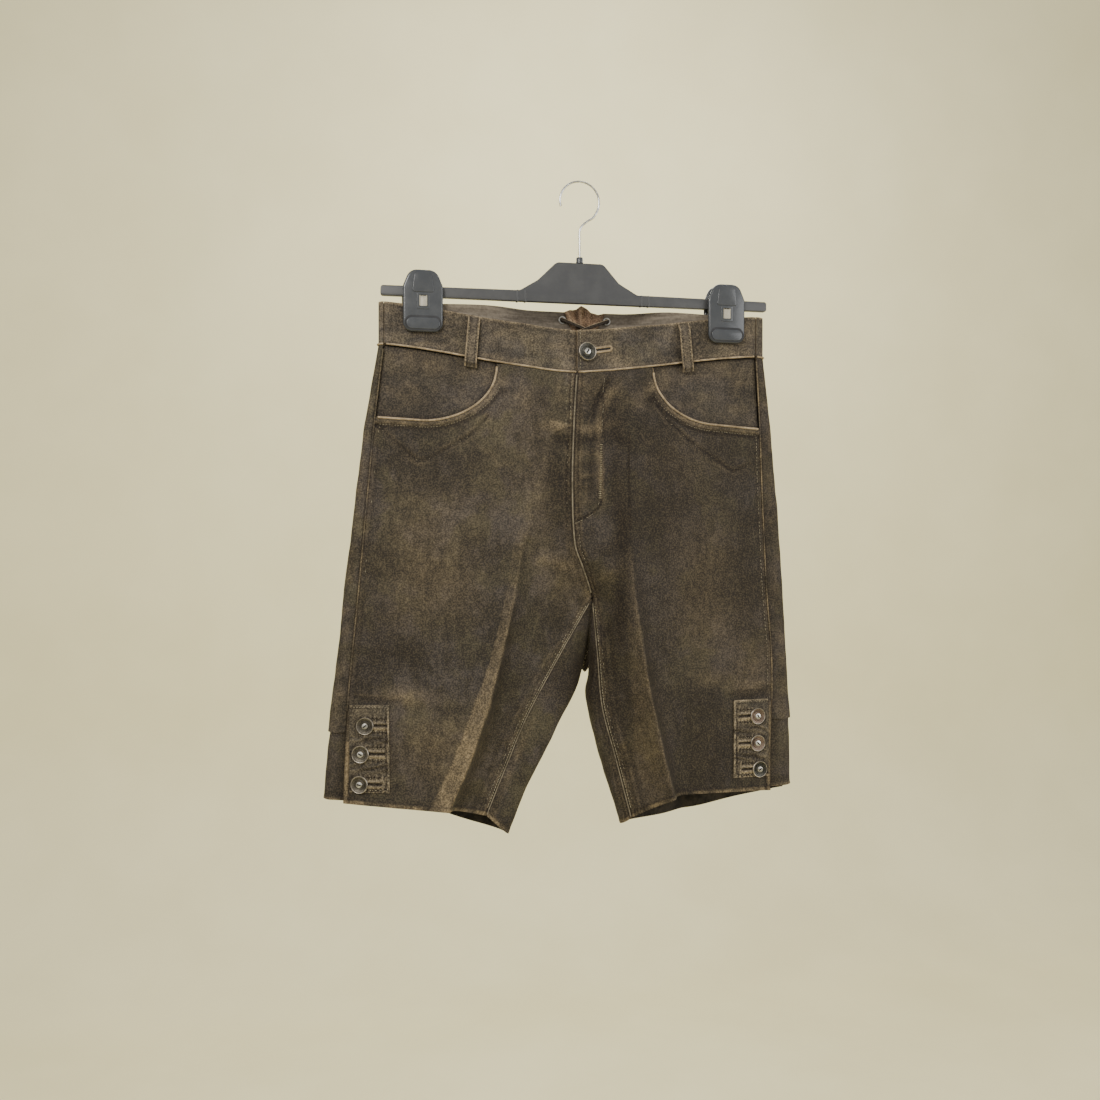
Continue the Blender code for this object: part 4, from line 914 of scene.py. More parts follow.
class Shader:
    """A Principled material under construction."""

    def __init__(self, name, **constants):
        self.material = bpy.data.materials.new(name)
        self.material.use_nodes = True
        self.tree = self.material.node_tree
        self.principled = self.tree.nodes["Principled BSDF"]
        for socket, value in constants.items():
            self.principled.inputs[socket.replace("_", " ")].default_value = value
        self.place = self.node("ShaderNodeTexCoord", output="Object")

    def node(self, kind, settings=None, sockets=None, output=0):
        made = self.tree.nodes.new(kind)
        for key, value in (settings or {}).items():
            setattr(made, key, value)
        for key, value in (sockets or {}).items():
            if isinstance(value, Value):
                self.tree.links.new(value.socket, made.inputs[key])
            else:
                made.inputs[key].default_value = value
        return Value(self, made.outputs[output])

    def noise(self, scale, detail=3.0, roughness=0.55, place=None):
        """Noise from about 0 to 1, scale blobs to the metre."""
        sockets = {"Vector": place or self.place, "Scale": scale, "Detail": detail, "Roughness": roughness}
        return self.node("ShaderNodeTexNoise", {"noise_dimensions": "3D"}, sockets)

    def stretched(self, x, y, z):
        """The object's coordinates, squeezed so that noise on them runs in streaks."""
        return self.node("ShaderNodeMapping", {}, {"Vector": self.place, "Scale": (x, y, z)})

    def attribute(self, name):
        return self.node("ShaderNodeAttribute", {"attribute_name": name}, output="Fac")

    def mix(self, share, first, second):
        """A colour between two others."""
        colours = [(*c, 1.0) if isinstance(c, tuple) else c for c in (first, second)]
        sockets = {0: share, 6: colours[0], 7: colours[1]}
        return self.node("ShaderNodeMix", {"data_type": "RGBA"}, sockets, output=2)

    def feed(self, socket, value):
        self.tree.links.new(value.socket, self.principled.inputs[socket])

    def bump(self, height, distance, strength=1.0):
        sockets = {"Height": height, "Distance": distance, "Strength": strength}
        self.feed("Normal", self.node("ShaderNodeBump", {}, sockets))


print("a shader's tools:", [name for name in vars(Shader) if not name.startswith("_")])

# %% [markdown]
# ## Leather
#
# The breeches are cut from split hide, dyed brown and waxed by years of wear. The colour drifts between a
# purplish grey and an olive brown over a hand's width, with paler flecks where the nap is broken. Worn places
# and painted highlights go to tan, and grime and painted shade go to a deep brown. One builder makes every
# leather, so that a belt loop and a leg match.

# %% Leather materials
DEEP = (0.011, 0.008, 0.006)
DARK = (0.023, 0.0197, 0.0153)
PLUM = (0.0635, 0.0545, 0.0497)
OLIVE = (0.069, 0.0605, 0.0388)
TAN = (0.262, 0.196, 0.112)
RAW_EDGE = (0.33, 0.235, 0.135)
LINING = (0.04, 0.032, 0.024)


def leather_material(name, dark=DARK, plum=PLUM, olive=OLIVE, tan=TAN):
    shader = Shader(name, Sheen_Weight=0.03, Sheen_Roughness=0.5, Specular_IOR_Level=0.18)
    shader.principled.inputs["Sheen Tint"].default_value = (0.75, 0.66, 0.52, 1)
    broad = shader.noise(15, 2)
    drift = shader.noise(26, 2)
    patches = shader.noise(85, 4, 0.6)
    nap = shader.noise(700, 2, 0.6)
    streaks = shader.noise(170, 3, 0.6, shader.stretched(1, 1, 0.22))
    wander = shader.noise(48, 4, 0.62)
    veins = 1.0 - wander.maths("ABSOLUTE", wander - 0.5).between(0.0, 0.035)
    veins = veins * patches.between(0.42, 0.6)
    hide = shader.mix(drift.between(0.42, 0.58), plum, olive)
    depth = (broad * 0.8 + patches * 0.7 + streaks * 0.3).between(0.7, 1.1)
    hide = shader.mix(depth, dark, hide)
    uneven = (patches * 0.6 + nap * 0.3 + streaks * 0.4).between(0.45, 0.85)
    # towards tan for wear and painted highlights, then towards deep brown for grime and painted shade
    hide = shader.mix((shader.attribute("worn") * (0.45 + uneven * 1.1)).clamped(), hide, tan)
    hide = shader.mix((shader.attribute("grime") * 1.1).clamped(), hide, DEEP)
    raised = nap.between(0.34, 0.66)
    hide = shader.mix((1.0 - raised) * 0.54, hide, DEEP)
    hide = shader.mix(veins * 0.34, hide, DEEP)
    hide = shader.mix(raised * raised * 0.125, hide, tan)
    shader.feed("Base Color", hide)
    shader.feed("Roughness", 0.64 + patches * 0.22)
    shader.bump(patches * 0.5 + nap * 0.35 + streaks * 0.2 - veins * 0.25, 0.0011, 0.7)
    return shader.material


def plain_leather(name, low, high, scale=260, roughness=0.8):
    """A cut edge or an inside: two close colours and a nap."""
    shader = Shader(name, Specular_IOR_Level=0.3)
    patches = shader.noise(70, 4, 0.6)
    nap = shader.noise(scale, 4, 0.6)
    shader.feed("Base Color", shader.mix((patches * 0.6 + nap * 0.5).between(0.4, 0.7), low, high))
    shader.feed("Roughness", roughness + nap * 0.12)
    shader.bump(nap, 0.0005, 0.5)
    return shader.material


LEATHER_LOOK = leather_material("leather_brown")
BAND_LOOK = leather_material("leather_band", (0.035, 0.0305, 0.0255), (0.076, 0.0685, 0.0635),
                             (0.08, 0.0705, 0.0515), (0.32, 0.245, 0.15))
FACING_LOOK = leather_material("leather_facing", (0.026, 0.023, 0.02), (0.056, 0.049, 0.045),
                               (0.062, 0.054, 0.041))
PLACKET_LOOK = leather_material("leather_placket", (0.023, 0.0215, 0.0185), (0.048, 0.045, 0.04),
                                (0.055, 0.05, 0.038), (0.42, 0.33, 0.205))
SEAM_LOOK = plain_leather("leather_seam", (0.09, 0.074, 0.05), (0.21, 0.175, 0.12), 420)
INSIDE_LOOK = plain_leather("leather_inside", (0.01, 0.008, 0.006), LINING)
EDGE_LOOK = plain_leather("leather_raw_edge", (0.085, 0.06, 0.036), RAW_EDGE, 900)
WELT_LOOK = plain_leather("leather_welt", (0.19, 0.14, 0.082), (0.4, 0.305, 0.19), 420)
THREAD_LOOK = plain_leather("thread", (0.2, 0.17, 0.11), (0.46, 0.4, 0.27), 1800)
# the gusset's colours are set far paler than rust-brown suede, as painted light that lifts it out of the
# shade behind the band
GUSSET_PAINTED_LIGHT_LOOK = leather_material("leather_gusset_painted_light", (0.28, 0.165, 0.092), (0.45, 0.275, 0.165),
                               (0.52, 0.32, 0.18), (0.66, 0.47, 0.29))
THONG_LOOK = leather_material("leather_thong", (0.012, 0.009, 0.007), (0.03, 0.023, 0.018),
                              (0.036, 0.028, 0.019))
SHEET_LOOKS = (LEATHER_LOOK, INSIDE_LOOK, EDGE_LOOK)
print("leathers:", [m.name for m in bpy.data.materials if "leather" in m.name])

# %% [markdown]
# ## Plastic, steel and buttons
#
# The hanger is moulded plastic with a faint grain. Its hook is bare steel, and its steel springs get a pale
# plastic finish. The buttons are pressed metal with a dull face, a thin worn rim and a bright boss. The
# studio's paper gets its material here too.

# %% Hard materials
def plastic_material(name, low, high, roughness):
    shader = Shader(name, Specular_IOR_Level=0.5)
    cloud = shader.noise(40, 3)
    grain = shader.noise(900, 2)
    dust = shader.noise(150, 5, 0.7)
    shader.feed("Base Color", shader.mix((cloud * 0.7 + dust * 0.4).between(0.4, 0.75), low, high))
    shader.feed("Roughness", roughness + dust * 0.16)
    shader.bump(grain, 0.0002, 0.12)
    return shader.material


def metal_material(name, low, high, roughness, scale=300):
    shader = Shader(name, Metallic=1.0)
    scratches = shader.noise(scale, 4, 0.65)
    tarnish = shader.noise(90, 3)
    shader.feed("Base Color", shader.mix((scratches * 0.6 + tarnish * 0.5).between(0.4, 0.72), low, high))
    shader.feed("Roughness", roughness + scratches * 0.22)
    shader.bump(scratches, 0.0002, 0.2)
    return shader.material


PLASTIC_LOOK = plastic_material("plastic_grey", (0.045, 0.048, 0.053), (0.061, 0.064, 0.069), 0.15)
BAR_LOOK = plastic_material("plastic_bar", (0.048, 0.048, 0.05), (0.06, 0.06, 0.061), 0.32)
# a near-black plastic that stands for the shade in the jaw's groove
GROOVE_SHADE_LOOK = plastic_material("plastic_groove_shade", (0.012, 0.012, 0.014), (0.03, 0.03, 0.034), 0.6)
STEEL_LOOK = metal_material("steel", (0.42, 0.41, 0.38), (0.8, 0.79, 0.74), 0.16)
SPRING_LOOK = plastic_material("spring_plate", (0.34, 0.31, 0.245), (0.5, 0.46, 0.36), 0.35)
NICKEL_LOOK = metal_material("nickel", (0.3, 0.28, 0.24), (0.72, 0.69, 0.62), 0.24)
BUTTON_LOOK = metal_material("button_face", (0.045, 0.04, 0.032), (0.15, 0.132, 0.105), 0.42, 900)
COPPER_LOOK = metal_material("button_copper", (0.08, 0.058, 0.044), (0.25, 0.185, 0.142), 0.44, 900)
BLACK_LOOK = metal_material("button_dark", (0.028, 0.027, 0.023), (0.1, 0.096, 0.082), 0.4, 900)
# near-black blocks and strips that stand for the shade in slots and slits
SLIT_SHADE_LOOK = plastic_material("button_slit_shade", (0.006, 0.005, 0.004), (0.012, 0.01, 0.008), 0.7)
RIM_LOOK = metal_material("button_rim", (0.2, 0.175, 0.14), (0.52, 0.46, 0.38), 0.34, 600)


def paper_material():
    """Warm matt paper with faint clouds and fibres."""
    shader = Shader("studio_paper", Specular_IOR_Level=0.15)
    clouds = shader.noise(2.5, 3)
    fibres = shader.noise(240, 3)
    tone = (clouds * 0.7 + fibres * 0.3).between(0.3, 0.7)
    shader.feed("Base Color", shader.mix(tone, (0.86, 0.79, 0.495), (0.92, 0.85, 0.545)))
    shader.feed("Roughness", 0.85 + fibres * 0.1)
    shader.bump(fibres, 0.0002, 0.1)
    return shader.material


paper.data.materials.append(paper_material())
print("materials:", len(bpy.data.materials))

# %% [markdown]
# ## Making a sheet of leather
#
# Every leather piece starts as a flat grid, and its points are moved to their places on a surface. Solidify
# gives it the hide's thickness, with another material inside and on the cut rim, and a small bevel softens
# the cut. It could also be sculpted, but then the pieces beside it wouldn't fit.

# %% Sheets
def set_attribute(mesh, name, values):
    attribute = mesh.attributes.new(name, "FLOAT", "POINT")
    attribute.data.foreach_set("value", np.asarray(values, np.float32).ravel())


def flat_grid(name, rows, columns):
    """A flat grid of points, with each vertex's row and column."""
    bpy.ops.mesh.primitive_grid_add(x_subdivisions=columns - 1, y_subdivisions=rows - 1, size=2)
    obj = bpy.context.object
    obj.name = obj.data.name = name
    places = np.empty(len(obj.data.vertices) * 3)
    obj.data.vertices.foreach_get("co", places)
    places = places.reshape(-1, 3)
    column = np.rint((places[:, 0] + 1) / 2 * (columns - 1)).astype(int)
    row = np.rint((places[:, 1] + 1) / 2 * (rows - 1)).astype(int)
    return obj, row, column


def apply_modifier(obj, kind, **settings):
    """Adds a modifier with these settings, and makes its result the mesh."""
    modifier = obj.modifiers.new(kind.lower(), kind)
    for key, value in settings.items():
        setattr(modifier, key, value)
    bpy.context.view_layer.objects.active = obj
    bpy.ops.object.modifier_apply(modifier=modifier.name)


def leather_sheet(name, spots, worn=0.0, grime=0.0, thick=LEATHER, looks=SHEET_LOOKS, turn=1,
                  cut_out=None, bevel=0.45):
    """A sheet over a grid of points in metres, whose outer face is the grid."""
    rows, columns = spots.shape[:2]
    fields = [np.broadcast_to(np.asarray(f, float), (rows, columns)) for f in (worn, grime)]
    obj, row, column = flat_grid(name, rows, columns)
    mesh = obj.data
    source = column if turn > 0 else columns - 1 - column
    mesh.vertices.foreach_set("co", spots[row, source].ravel())
    for label, field in zip(("worn", "grime"), fields):
        set_attribute(mesh, label, field[row, source])
    across, down = (run_lengths(spots, axis)[row, source] for axis in (1, 0))
    corners = np.empty(len(mesh.loops), int)
    mesh.loops.foreach_get("vertex_index", corners)
    mesh.uv_layers[0].data.foreach_set("uv", np.stack([across, -down], 1)[corners].ravel())
    if cut_out is not None:
        gone = cut_out[row, source]
        bpy.ops.object.mode_set(mode="EDIT")
        bpy.ops.mesh.select_mode(type="VERT")
        bpy.ops.mesh.select_all(action="DESELECT")
        bpy.ops.object.mode_set(mode="OBJECT")
        mesh.vertices.foreach_set("select", gone)
        bpy.ops.object.mode_set(mode="EDIT")
        bpy.ops.mesh.delete(type="VERT")
        bpy.ops.object.mode_set(mode="OBJECT")
    for look in looks:
        mesh.materials.append(look)
    apply_modifier(obj, "SOLIDIFY", thickness=thick * MM, offset=-1, use_even_offset=False,
                   material_offset=1, material_offset_rim=2)
    apply_modifier(obj, "BEVEL", width=bevel * MM, segments=2, limit_method="ANGLE",
                   angle_limit=math.radians(55), use_clamp_overlap=True)
    bpy.ops.object.shade_smooth_by_angle(angle=math.radians(50))
    return obj


def edit_all():
    """Goes into edit mode with everything selected."""
    bpy.ops.object.mode_set(mode="EDIT")
    bpy.ops.mesh.select_all(action="SELECT")


def close_edit():
    """Turns the selected faces outwards and leaves edit mode."""
    bpy.ops.mesh.normals_make_consistent(inside=False)
    bpy.ops.object.mode_set(mode="OBJECT")


def declare(piece, node):
    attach(piece, "root")
    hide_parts(node)
    return piece


DECLARED = {}


def cut_size(spots):
    """A sheet's cut before it was sewn: its greatest width and length, and its area, in metres."""
    across, down = run_lengths(spots, 1).max(), run_lengths(spots, 0).max()
    a, b = spots[1:, 1:] - spots[:-1, :-1], spots[1:, :-1] - spots[:-1, 1:]
    area = np.linalg.norm(np.cross(a, b), axis=-1).sum() / 2
    return float(across), float(down), float(area)


def declare_sheet(piece, node, spots):
    declare(piece, node)
    width, length, area = cut_size(spots)
    DECLARED[piece.name] = (round(width, 3), round(length, 3), round(area, 4))
    return piece


def dense_ends(length, near, spacing, count):
    """Shares of a length with steps of about spacing within near of both ends, and count in between."""
    edge = np.arange(0, near, spacing) / length
    return np.concatenate([edge, span(near / length, 1 - near / length, count), 1 - edge[::-1]])


print("sheets have", len(SHEET_LOOKS), "materials: face, inside and cut edge")

# %% [markdown]
# ## Front panels
#
# The front of each leg is one piece of hide from the waistband to the hem, with the pocket's mouth cut out
# of its upper corner. A Boolean would leave a ragged edge, so the grid's top row follows the mouth. Its
# columns bunch together where the mouth climbs steeply, and at the seams, where the stitches pinch.

# %% Front panels
TUCK = LEATHER + SEAM_GAP
FACING_SINK = 0.7
FACING_LAP = 11.0


def mouth_line(skin, u, grow=0.0):
    """The v of the pocket's mouth at each u, 0 beyond its inner end."""
    v = span(0, 0.35, 400)
    inside = skin.read(skin.mouth, *np.meshgrid(u, v)) < grow
    found = inside.any(axis=0)
    last = np.where(found, len(v) - 1 - inside[::-1].argmax(axis=0), 0)
    after = np.minimum(last + 1, len(v) - 1)
    low, high = (skin.read(skin.mouth, u, v[k]) - grow for k in (last, after))
    share = np.clip(-low / np.maximum(high - low, 1e-6), 0, 1)
    return np.where(found, v[last] + share * (v[after] - v[last]), 0)


def mouth_end(skin, grow=0.0):
    u = span(0.05, 0.9, 600)
    return u[np.flatnonzero(mouth_line(skin, u, grow) > 0)[-1]]


def front_columns(skin):
    end = mouth_end(skin)
    middle = skin.locate(POCKET[skin.side].centre_x, 125)[0]
    near_side = np.arange(0, 10, 0.9) / 240
    to_centre = span(10 / 240, middle, 30)
    to_end = middle + (end - middle) * np.sin(span(0, math.pi / 2, 42))
    beyond = end + (1 - end) * dense_ends(150, 13, 0.95, 76)[14:]
    return np.concatenate([near_side, to_centre, to_end[1:], beyond])


def finish_panel(skin, grid_u, grid_v, cut_out=None):
    """A panel's sheet over a grid of its surface, with the surface's wear."""
    face, side = skin.face, skin.side
    spots = skin.at(grid_u, grid_v)
    worn, grime = (skin.read(field, grid_u, grid_v) for field in (skin.worn, skin.grime))
    piece = leather_sheet(f"leg_{face}_{side}", spots, worn, grime, turn=skin.turn, cut_out=cut_out)
    return declare_sheet(piece, f"{face}_{side}_panel", spots)


def build_front(side):
    skin = SKINS["front", side]
    u = 0.0006 + 0.9988 * front_columns(skin)
    tops = mouth_line(skin, u)
    v = dense_ends(470, 12, 1.0, 215) * 0.9994 + 0.0003
    grid_v = tops[None, :] + (1 - tops[None, :]) * v[:, None]
    return finish_panel(skin, np.broadcast_to(u, grid_v.shape), grid_v)


for side in SIDES:
    piece = build_front(side)
    print(piece.name, len(piece.data.polygons), "faces")

# %% [markdown]
# ## Back panels
#
# Each back panel wraps round the leg: it meets the front at the side seam, which lies a little in front of
# the leg's outer fold, and again at the inseam. A notch is cut out of its lower outer corner, where the
# vent lies open over its under layer.

# %% Back panels
NOTCH_U, NOTCH_V = 4 / 21, V_CROTCH + (1 - V_CROTCH) * 5 / 8


def build_back(side):
    u = np.concatenate([span(0, NOTCH_U, 26), span(NOTCH_U, 1, 110)[1:]]) * 0.9988 + 0.0006
    v = np.concatenate([span(0, NOTCH_V, 160), span(NOTCH_V, 1, 44)[1:]]) * 0.9994 + 0.0003
    grid_u, grid_v = np.meshgrid(u, v)
    notch = (grid_v > NOTCH_V + 0.002) & (grid_u < NOTCH_U - 0.002)
    return finish_panel(SKINS["back", side], grid_u, grid_v, notch)


for side in SIDES:
    piece = build_back(side)
    print(piece.name, len(piece.data.polygons), "faces")

# %% [markdown]
# ## Pocket facings and vent underlaps
#
# Behind each slanted pocket mouth a facing closes the opening, and behind each vent an under layer carries
# the buttons. Both are tucked under the panels, by the hide's thickness and a little air, and both are
# darker near the edges that shade them.

# %% Facings and underlaps
def build_facing(side):
    skin = SKINS["front", side]
    end = mouth_end(skin, FACING_LAP)
    u = 0.003 + 0.97 * end * np.sin(span(0, math.pi / 2, 64))
    depth = np.maximum(mouth_line(skin, u, FACING_LAP), 0.01)
    t = span(0.02, 1, 44)
    grid_v = t[:, None] * depth[None, :]
    grid_u = np.broadcast_to(u, grid_v.shape)
    sag = 1.0 * np.sin(math.pi * t)[:, None] * np.sin(math.pi * span(0, 1, len(u)))[None, :]
    fields = (0.5 * mottled(skin, 24, 9.1), skin.mouth, skin.from_waist, mottled(skin, 9, 2.2))
    unevenness, mouth, from_waist, streak = (skin.read(field, grid_u, grid_v) for field in fields)
    spots = skin.at(grid_u, grid_v, -TUCK - FACING_SINK + 0.35 * sag * unevenness, dressed=False)
    worn = 0.04 + 0.26 * np.clip(streak + 0.1, 0, 1) + 0.1 * bump(from_waist - 14, 8)
    grime = 0.75 * bump(np.minimum(mouth, 0), 3.2) + 0.65 * bump(from_waist, 3.5)
    piece = leather_sheet(f"pocket_{side}", spots, worn, grime, thick=1.4, turn=skin.turn,
                          looks=(FACING_LOOK, INSIDE_LOOK, EDGE_LOOK))
    return declare_sheet(piece, f"pocket_facing_{side}", spots)


def build_underlap(side):
    front, back = SKINS["front", side], SKINS["back", side]
    v = span(V_VENT - 0.035, 0.992, 56)
    tucked, shown = span(0.3, 0.02, 20), span(0.0, 0.21, 26)
    parts = [skin.at(*np.meshgrid(u, v), -TUCK) for skin, u in ((front, tucked), (back, shown))]
    spots = np.concatenate(parts, axis=1)
    t, h = span(0, 1, spots.shape[1]), (1 - v[:, None]) * 195
    worn = 0.5 * (1 - ease((h - 1.8) / 1.6)) + 0.04
    grime = 0.55 * bump(t - 20 / 46, 0.05) + 0.3 * bump(h - 4, 1.5) + 0.12
    piece = leather_sheet(f"underlap_{side}", spots, worn, grime, thick=1.4, turn=back.turn)
    return declare_sheet(piece, f"vent_underlap_{side}", spots)


for side in SIDES:
    build_facing(side)
    build_underlap(side)
print("mouths end at", [round(float(mouth_end(SKINS["front", side])), 3) for side in SIDES], "of the width")

# %% [markdown]
# ## Waistband
#
# The band is a straight strip of hide, two fingers high, sewn on over the waist seam. At the front its
# right end runs on behind the left one, and the button goes through both. At the back it stops short of the
# middle, where a laced slit lets the waist out.

# %% Waistband
SLIT = {"right": 0.967, "left": 0.949}
UNDER = -(BAND_WALL + SEAM_GAP)
LAP_END = 0.74
BAND_ROWS = 34


def band_at(face, side, s, h, lift=0.0):
    """Points of a half of the waistband: s from the side seam, h up from the waist seam."""
    skin = SKINS[face, side]
    s, h = pair(s, h)
    end = SLIT[side] if face == "back" else 1.0
    low = skin.at(s, 0.0, lift)
    high = skin.at(s * end, 0.0, lift)
    spots = low + (high - low) * h[..., None]
    spots[..., 2] = low[..., 2] + BAND_HEIGHT * h * MM
    return spots


def band_fields(spots, seed):
    """How worn a band is: its top and bottom edges, and where hands have pulled at it."""
    rows, columns = spots.shape[:2]
    height = span(0, BAND_HEIGHT, rows)[:, None]

    def cloud(long, high, shift):
        flat = (spots / MM / (long, long, high)).reshape(-1, 3) + (0, 0, shift)
        return np.reshape([noise.noise(Vector(p)) for p in flat], (rows, columns))

    streak, patch = cloud(16, 5, seed), cloud(40, 26, 3 * seed)
    uneven = np.clip(0.6 + 1.2 * streak, 0, 1.3)
    worn = 0.14 * uneven + 0.6 * bump(BAND_HEIGHT - height, 1.6) + 0.16 * uneven * bump(height - 3, 3)
    worn += 0.32 * np.clip(patch, 0, 1)
    grime = 0.6 * np.clip(-patch - 0.05, 0, 1) + 0.6 * bump(height, 1.4) + 0.22 * bump(height - 39, 1.2)
    return worn, grime


def lapping_spots():
    """The front's right half, which dips and runs on behind the left one."""
    h = span(0, 1, BAND_ROWS)[:, None]
    s = np.append(span(0.0008, 0.93, 96), [0.95, 0.97, 0.982, 0.994])
    dip = np.append(np.zeros(96), [-0.5, -1.1, -1.9, UNDER])
    shown = band_at("front", "right", s, h, dip * np.ones_like(h))
    behind = band_at("front", "left", span(0.985, LAP_END, 26), h, UNDER)
    return np.concatenate([shown, behind], axis=1)


def build_band(face, side):
    h = span(0, 1, BAND_ROWS)[:, None]
    if (face, side) == ("front", "right"):
        spots = lapping_spots()
    else:
        spots = band_at(face, side, span(0.0008, 0.9992, 110), h)
    spots[..., 2] += 0.0003 * (1 - h)
    worn, grime = band_fields(spots, 1.0 if side == "right" else 4.0)
    piece = leather_sheet(f"waistband_{face}_{side}", spots, worn, grime, thick=BAND_WALL, bevel=0.6,
                          turn=-SKINS[face, side].turn, looks=(BAND_LOOK, LINING_LOOK, EDGE_LOOK))
    return declare_sheet(piece, f"band_{face}_{side}", spots)


def lining_material():
    """The band's inside: grey-brown, streaked along its length."""
    shader = Shader("leather_band_inside", Specular_IOR_Level=0.3)
    streaks = shader.noise(60, 4, 0.6, shader.stretched(0.35, 0.35, 3.5))
    nap = shader.noise(380, 3)
    shader.feed("Base Color", shader.mix((streaks * 0.8 + nap * 0.3).between(0.38, 0.72),
                                         (0.085, 0.068, 0.05), (0.215, 0.178, 0.132)))
    shader.feed("Roughness", 0.72 + nap * 0.15)
    shader.bump(streaks * 0.6 + nap * 0.4, 0.0006, 0.5)
    return shader.material


LINING_LOOK = lining_material()
for face in ("front", "back"):
    for side in SIDES:
        piece = build_band(face, side)
        print(piece.name, [round(x, 3) for x in DECLARED[piece.name]], "m")

# %% [markdown]
# ## Cords, wires and welts
#
# Many small parts are one section pulled along a path: welts, lace, wire. A bevelled curve could do it, but
# a sweep written out here can be flat for a thong and round for a wire, and it can carry how worn the
# leather is along the way.

# %% Sweeps
def sweep(name, path, look, section, normals=None, worn=None, grime=None):
    """Pulls a closed section (across, up) in mm along a path of points in metres, with closed ends."""
    path = np.asarray(path, float)
    run = unit(np.gradient(path, axis=0))
    if normals is None:
        normals = np.zeros_like(path)
        up = np.array([0.0, -1.0, 0.0]) if abs(run[0][1]) < 0.9 else np.array([1.0, 0.0, 0.0])
        for k, direction in enumerate(run):
            up = unit(up - direction * (up @ direction))
            normals[k] = up
    normals = unit(normals - run * np.sum(normals * run, axis=1, keepdims=True))
    sides = np.cross(run, normals)
    section = np.asarray(section, float) * MM
    count = len(section)
    rings = path[:, None] + sides[:, None] * section[None, :, :1] + normals[:, None] * section[None, :, 1:]
    faces = [(k + j, k + (j + 1) % count, k + count + (j + 1) % count, k + count + j)
             for k in range(0, (len(path) - 1) * count, count) for j in range(count)]
    faces += [range(count - 1, -1, -1), range((len(path) - 1) * count, len(path) * count)]
    mesh = bpy.data.meshes.new(name)
    mesh.from_pydata(rings.reshape(-1, 3).tolist(), [], faces)
    mesh.materials.append(look)
    for label, field in (("worn", worn), ("grime", grime)):
        values = np.zeros(len(path)) if field is None else np.broadcast_to(field, len(path))
        set_attribute(mesh, label, np.repeat(values, count))
    obj = bpy.data.objects.new(name, mesh)
    bpy.context.scene.collection.objects.link(obj)
    bpy.context.view_layer.objects.active = obj
    obj.select_set(True)
    edit_all()
    close_edit()
    bpy.ops.object.shade_smooth_by_angle(angle=math.radians(60))
    obj.select_set(False)
    return obj


def round_section(radius, count=8):
    angles = [2 * math.pi * k / count for k in range(count)]
    return [(radius * math.cos(a), radius * math.sin(a)) for a in angles]


def flat_section(width, thick):
    """A strip's section with rounded edges."""
    a, b, c = width / 2, thick / 2, thick * 0.28
    return [(-a, -b + c), (-a + c, -b), (a - c, -b), (a, -b + c),
            (a, b - c), (a - c, b), (-a + c, b), (-a, b - c)]


print("corners of a cord:", len(round_section(1)), "and of a strip:", len(flat_section(3.8, 1.6)))

# %% [markdown]
# ## Welts
#
# A welt is a narrow strip of light leather caught in a seam, so that only its fold shows as a thin cord.
# Each one follows its seam on the panel's own grid. At the side seams the cord is the panels' own leather,
# with its dye rubbed off.

# %% Welts
def seam_path(face, side, u, v, lift):
    skin = SKINS[face, side]
    u, v = pair(u, v)
    return skin.at(u, v, np.full(u.shape, lift)), skin.read(skin.normals, u, v)


def noise_along(path, scale):
    return np.array([noise.noise(Vector(p) * scale) for p in path])


def build_welt(name, node, face, side, u, v, radius, lift, look=WELT_LOOK, worn=0.0):
    """A cord in a seam; with the panels' own leather, the last argument says how far its dye has rubbed off.
    """
    path, normals = seam_path(face, side, u, v, lift)
    path = path + normals * (noise_along(path, 160) * 0.25 * MM)[:, None]
    patchy = worn * np.clip(0.7 + 1.2 * noise_along(path, 45), 0, 1.5)
    piece = sweep(name, path, look, round_section(radius), normals, patchy)
    return declare(piece, node)


for side in SIDES:
    front = SKINS["front", side]
    u = span(0.006, 0.995, 120)
    for face in ("front", "back"):
        build_welt(f"waist_welt_{face}_{side}", f"welt_waist_{face}_{side}", face, side, u, 0.0, 1.05, 0.75)
    end = mouth_end(front)
    u = end * np.sin(span(0.02, math.pi / 2 - 0.03, 90))
    v = mouth_line(front, u) + 0.0015
    build_welt(f"mouth_welt_{side}", f"welt_pocket_{side}", "front", side, u, v, 1.15, 0.55)
    v = span(0.012, V_VENT - 0.004, 130)
    worn = 0.45 if side == "right" else 0.75
    build_welt(f"side_welt_{side}", f"welt_side_{side}", "back", side, 0, v, 0.8, 0.45, LEATHER_LOOK, worn)
    v = span(V_CROTCH + 0.012, 0.997, 80)
    build_welt(f"inseam_welt_{side}", f"welt_inseam_{side}", "front", side, 1.0, v, 0.7, 0.45, SEAM_LOOK)
v = span(0.01, V_CROTCH - 0.01, 110)
build_welt("fly_welt", "welt_centre_front", "front", "right", 1.0, v, 0.85, 0.6, SEAM_LOOK)

# %% [markdown]
# ## Belt loops
#
# Four strips run from the band's top to just below the seam, sewn flat at both ends and free between. Their
# long edges are turned and stitched, so each has a pale raised lip and a groove beside it.

# %% Belt loops
LOOP_WIDTH = 13.0
LOOP_RUN = BAND_HEIGHT - 1.5 + 12.0
LOOP_SEAT = {"front": 0.65, "back": 0.9}
LOOP_ARCH = 2.9
LOOPS = {                 # the x of each loop's top and of its foot
    "front": {"right": (-112.0, -116.5), "left": (111.0, 116.0)},
    "back": {"right": (-110.5, -114.0), "left": (111.0, 114.0)},
}


def band_share(face, side, x):
    """The s at which a half of the band has this x, at half its height."""
    s = span(0.02, 0.99, 500)
    across = band_at(face, side, s, 0.5)[:, 0] / MM
    order = np.argsort(across)
    return float(np.interp(x, across[order], s[order]))


def loop_share(face, side, share, along):
    """The s on the band under a place on a loop: share across it, along down it."""
    return band_share(face, side, lerp(*LOOPS[face][side], along) + share * LOOP_WIDTH)


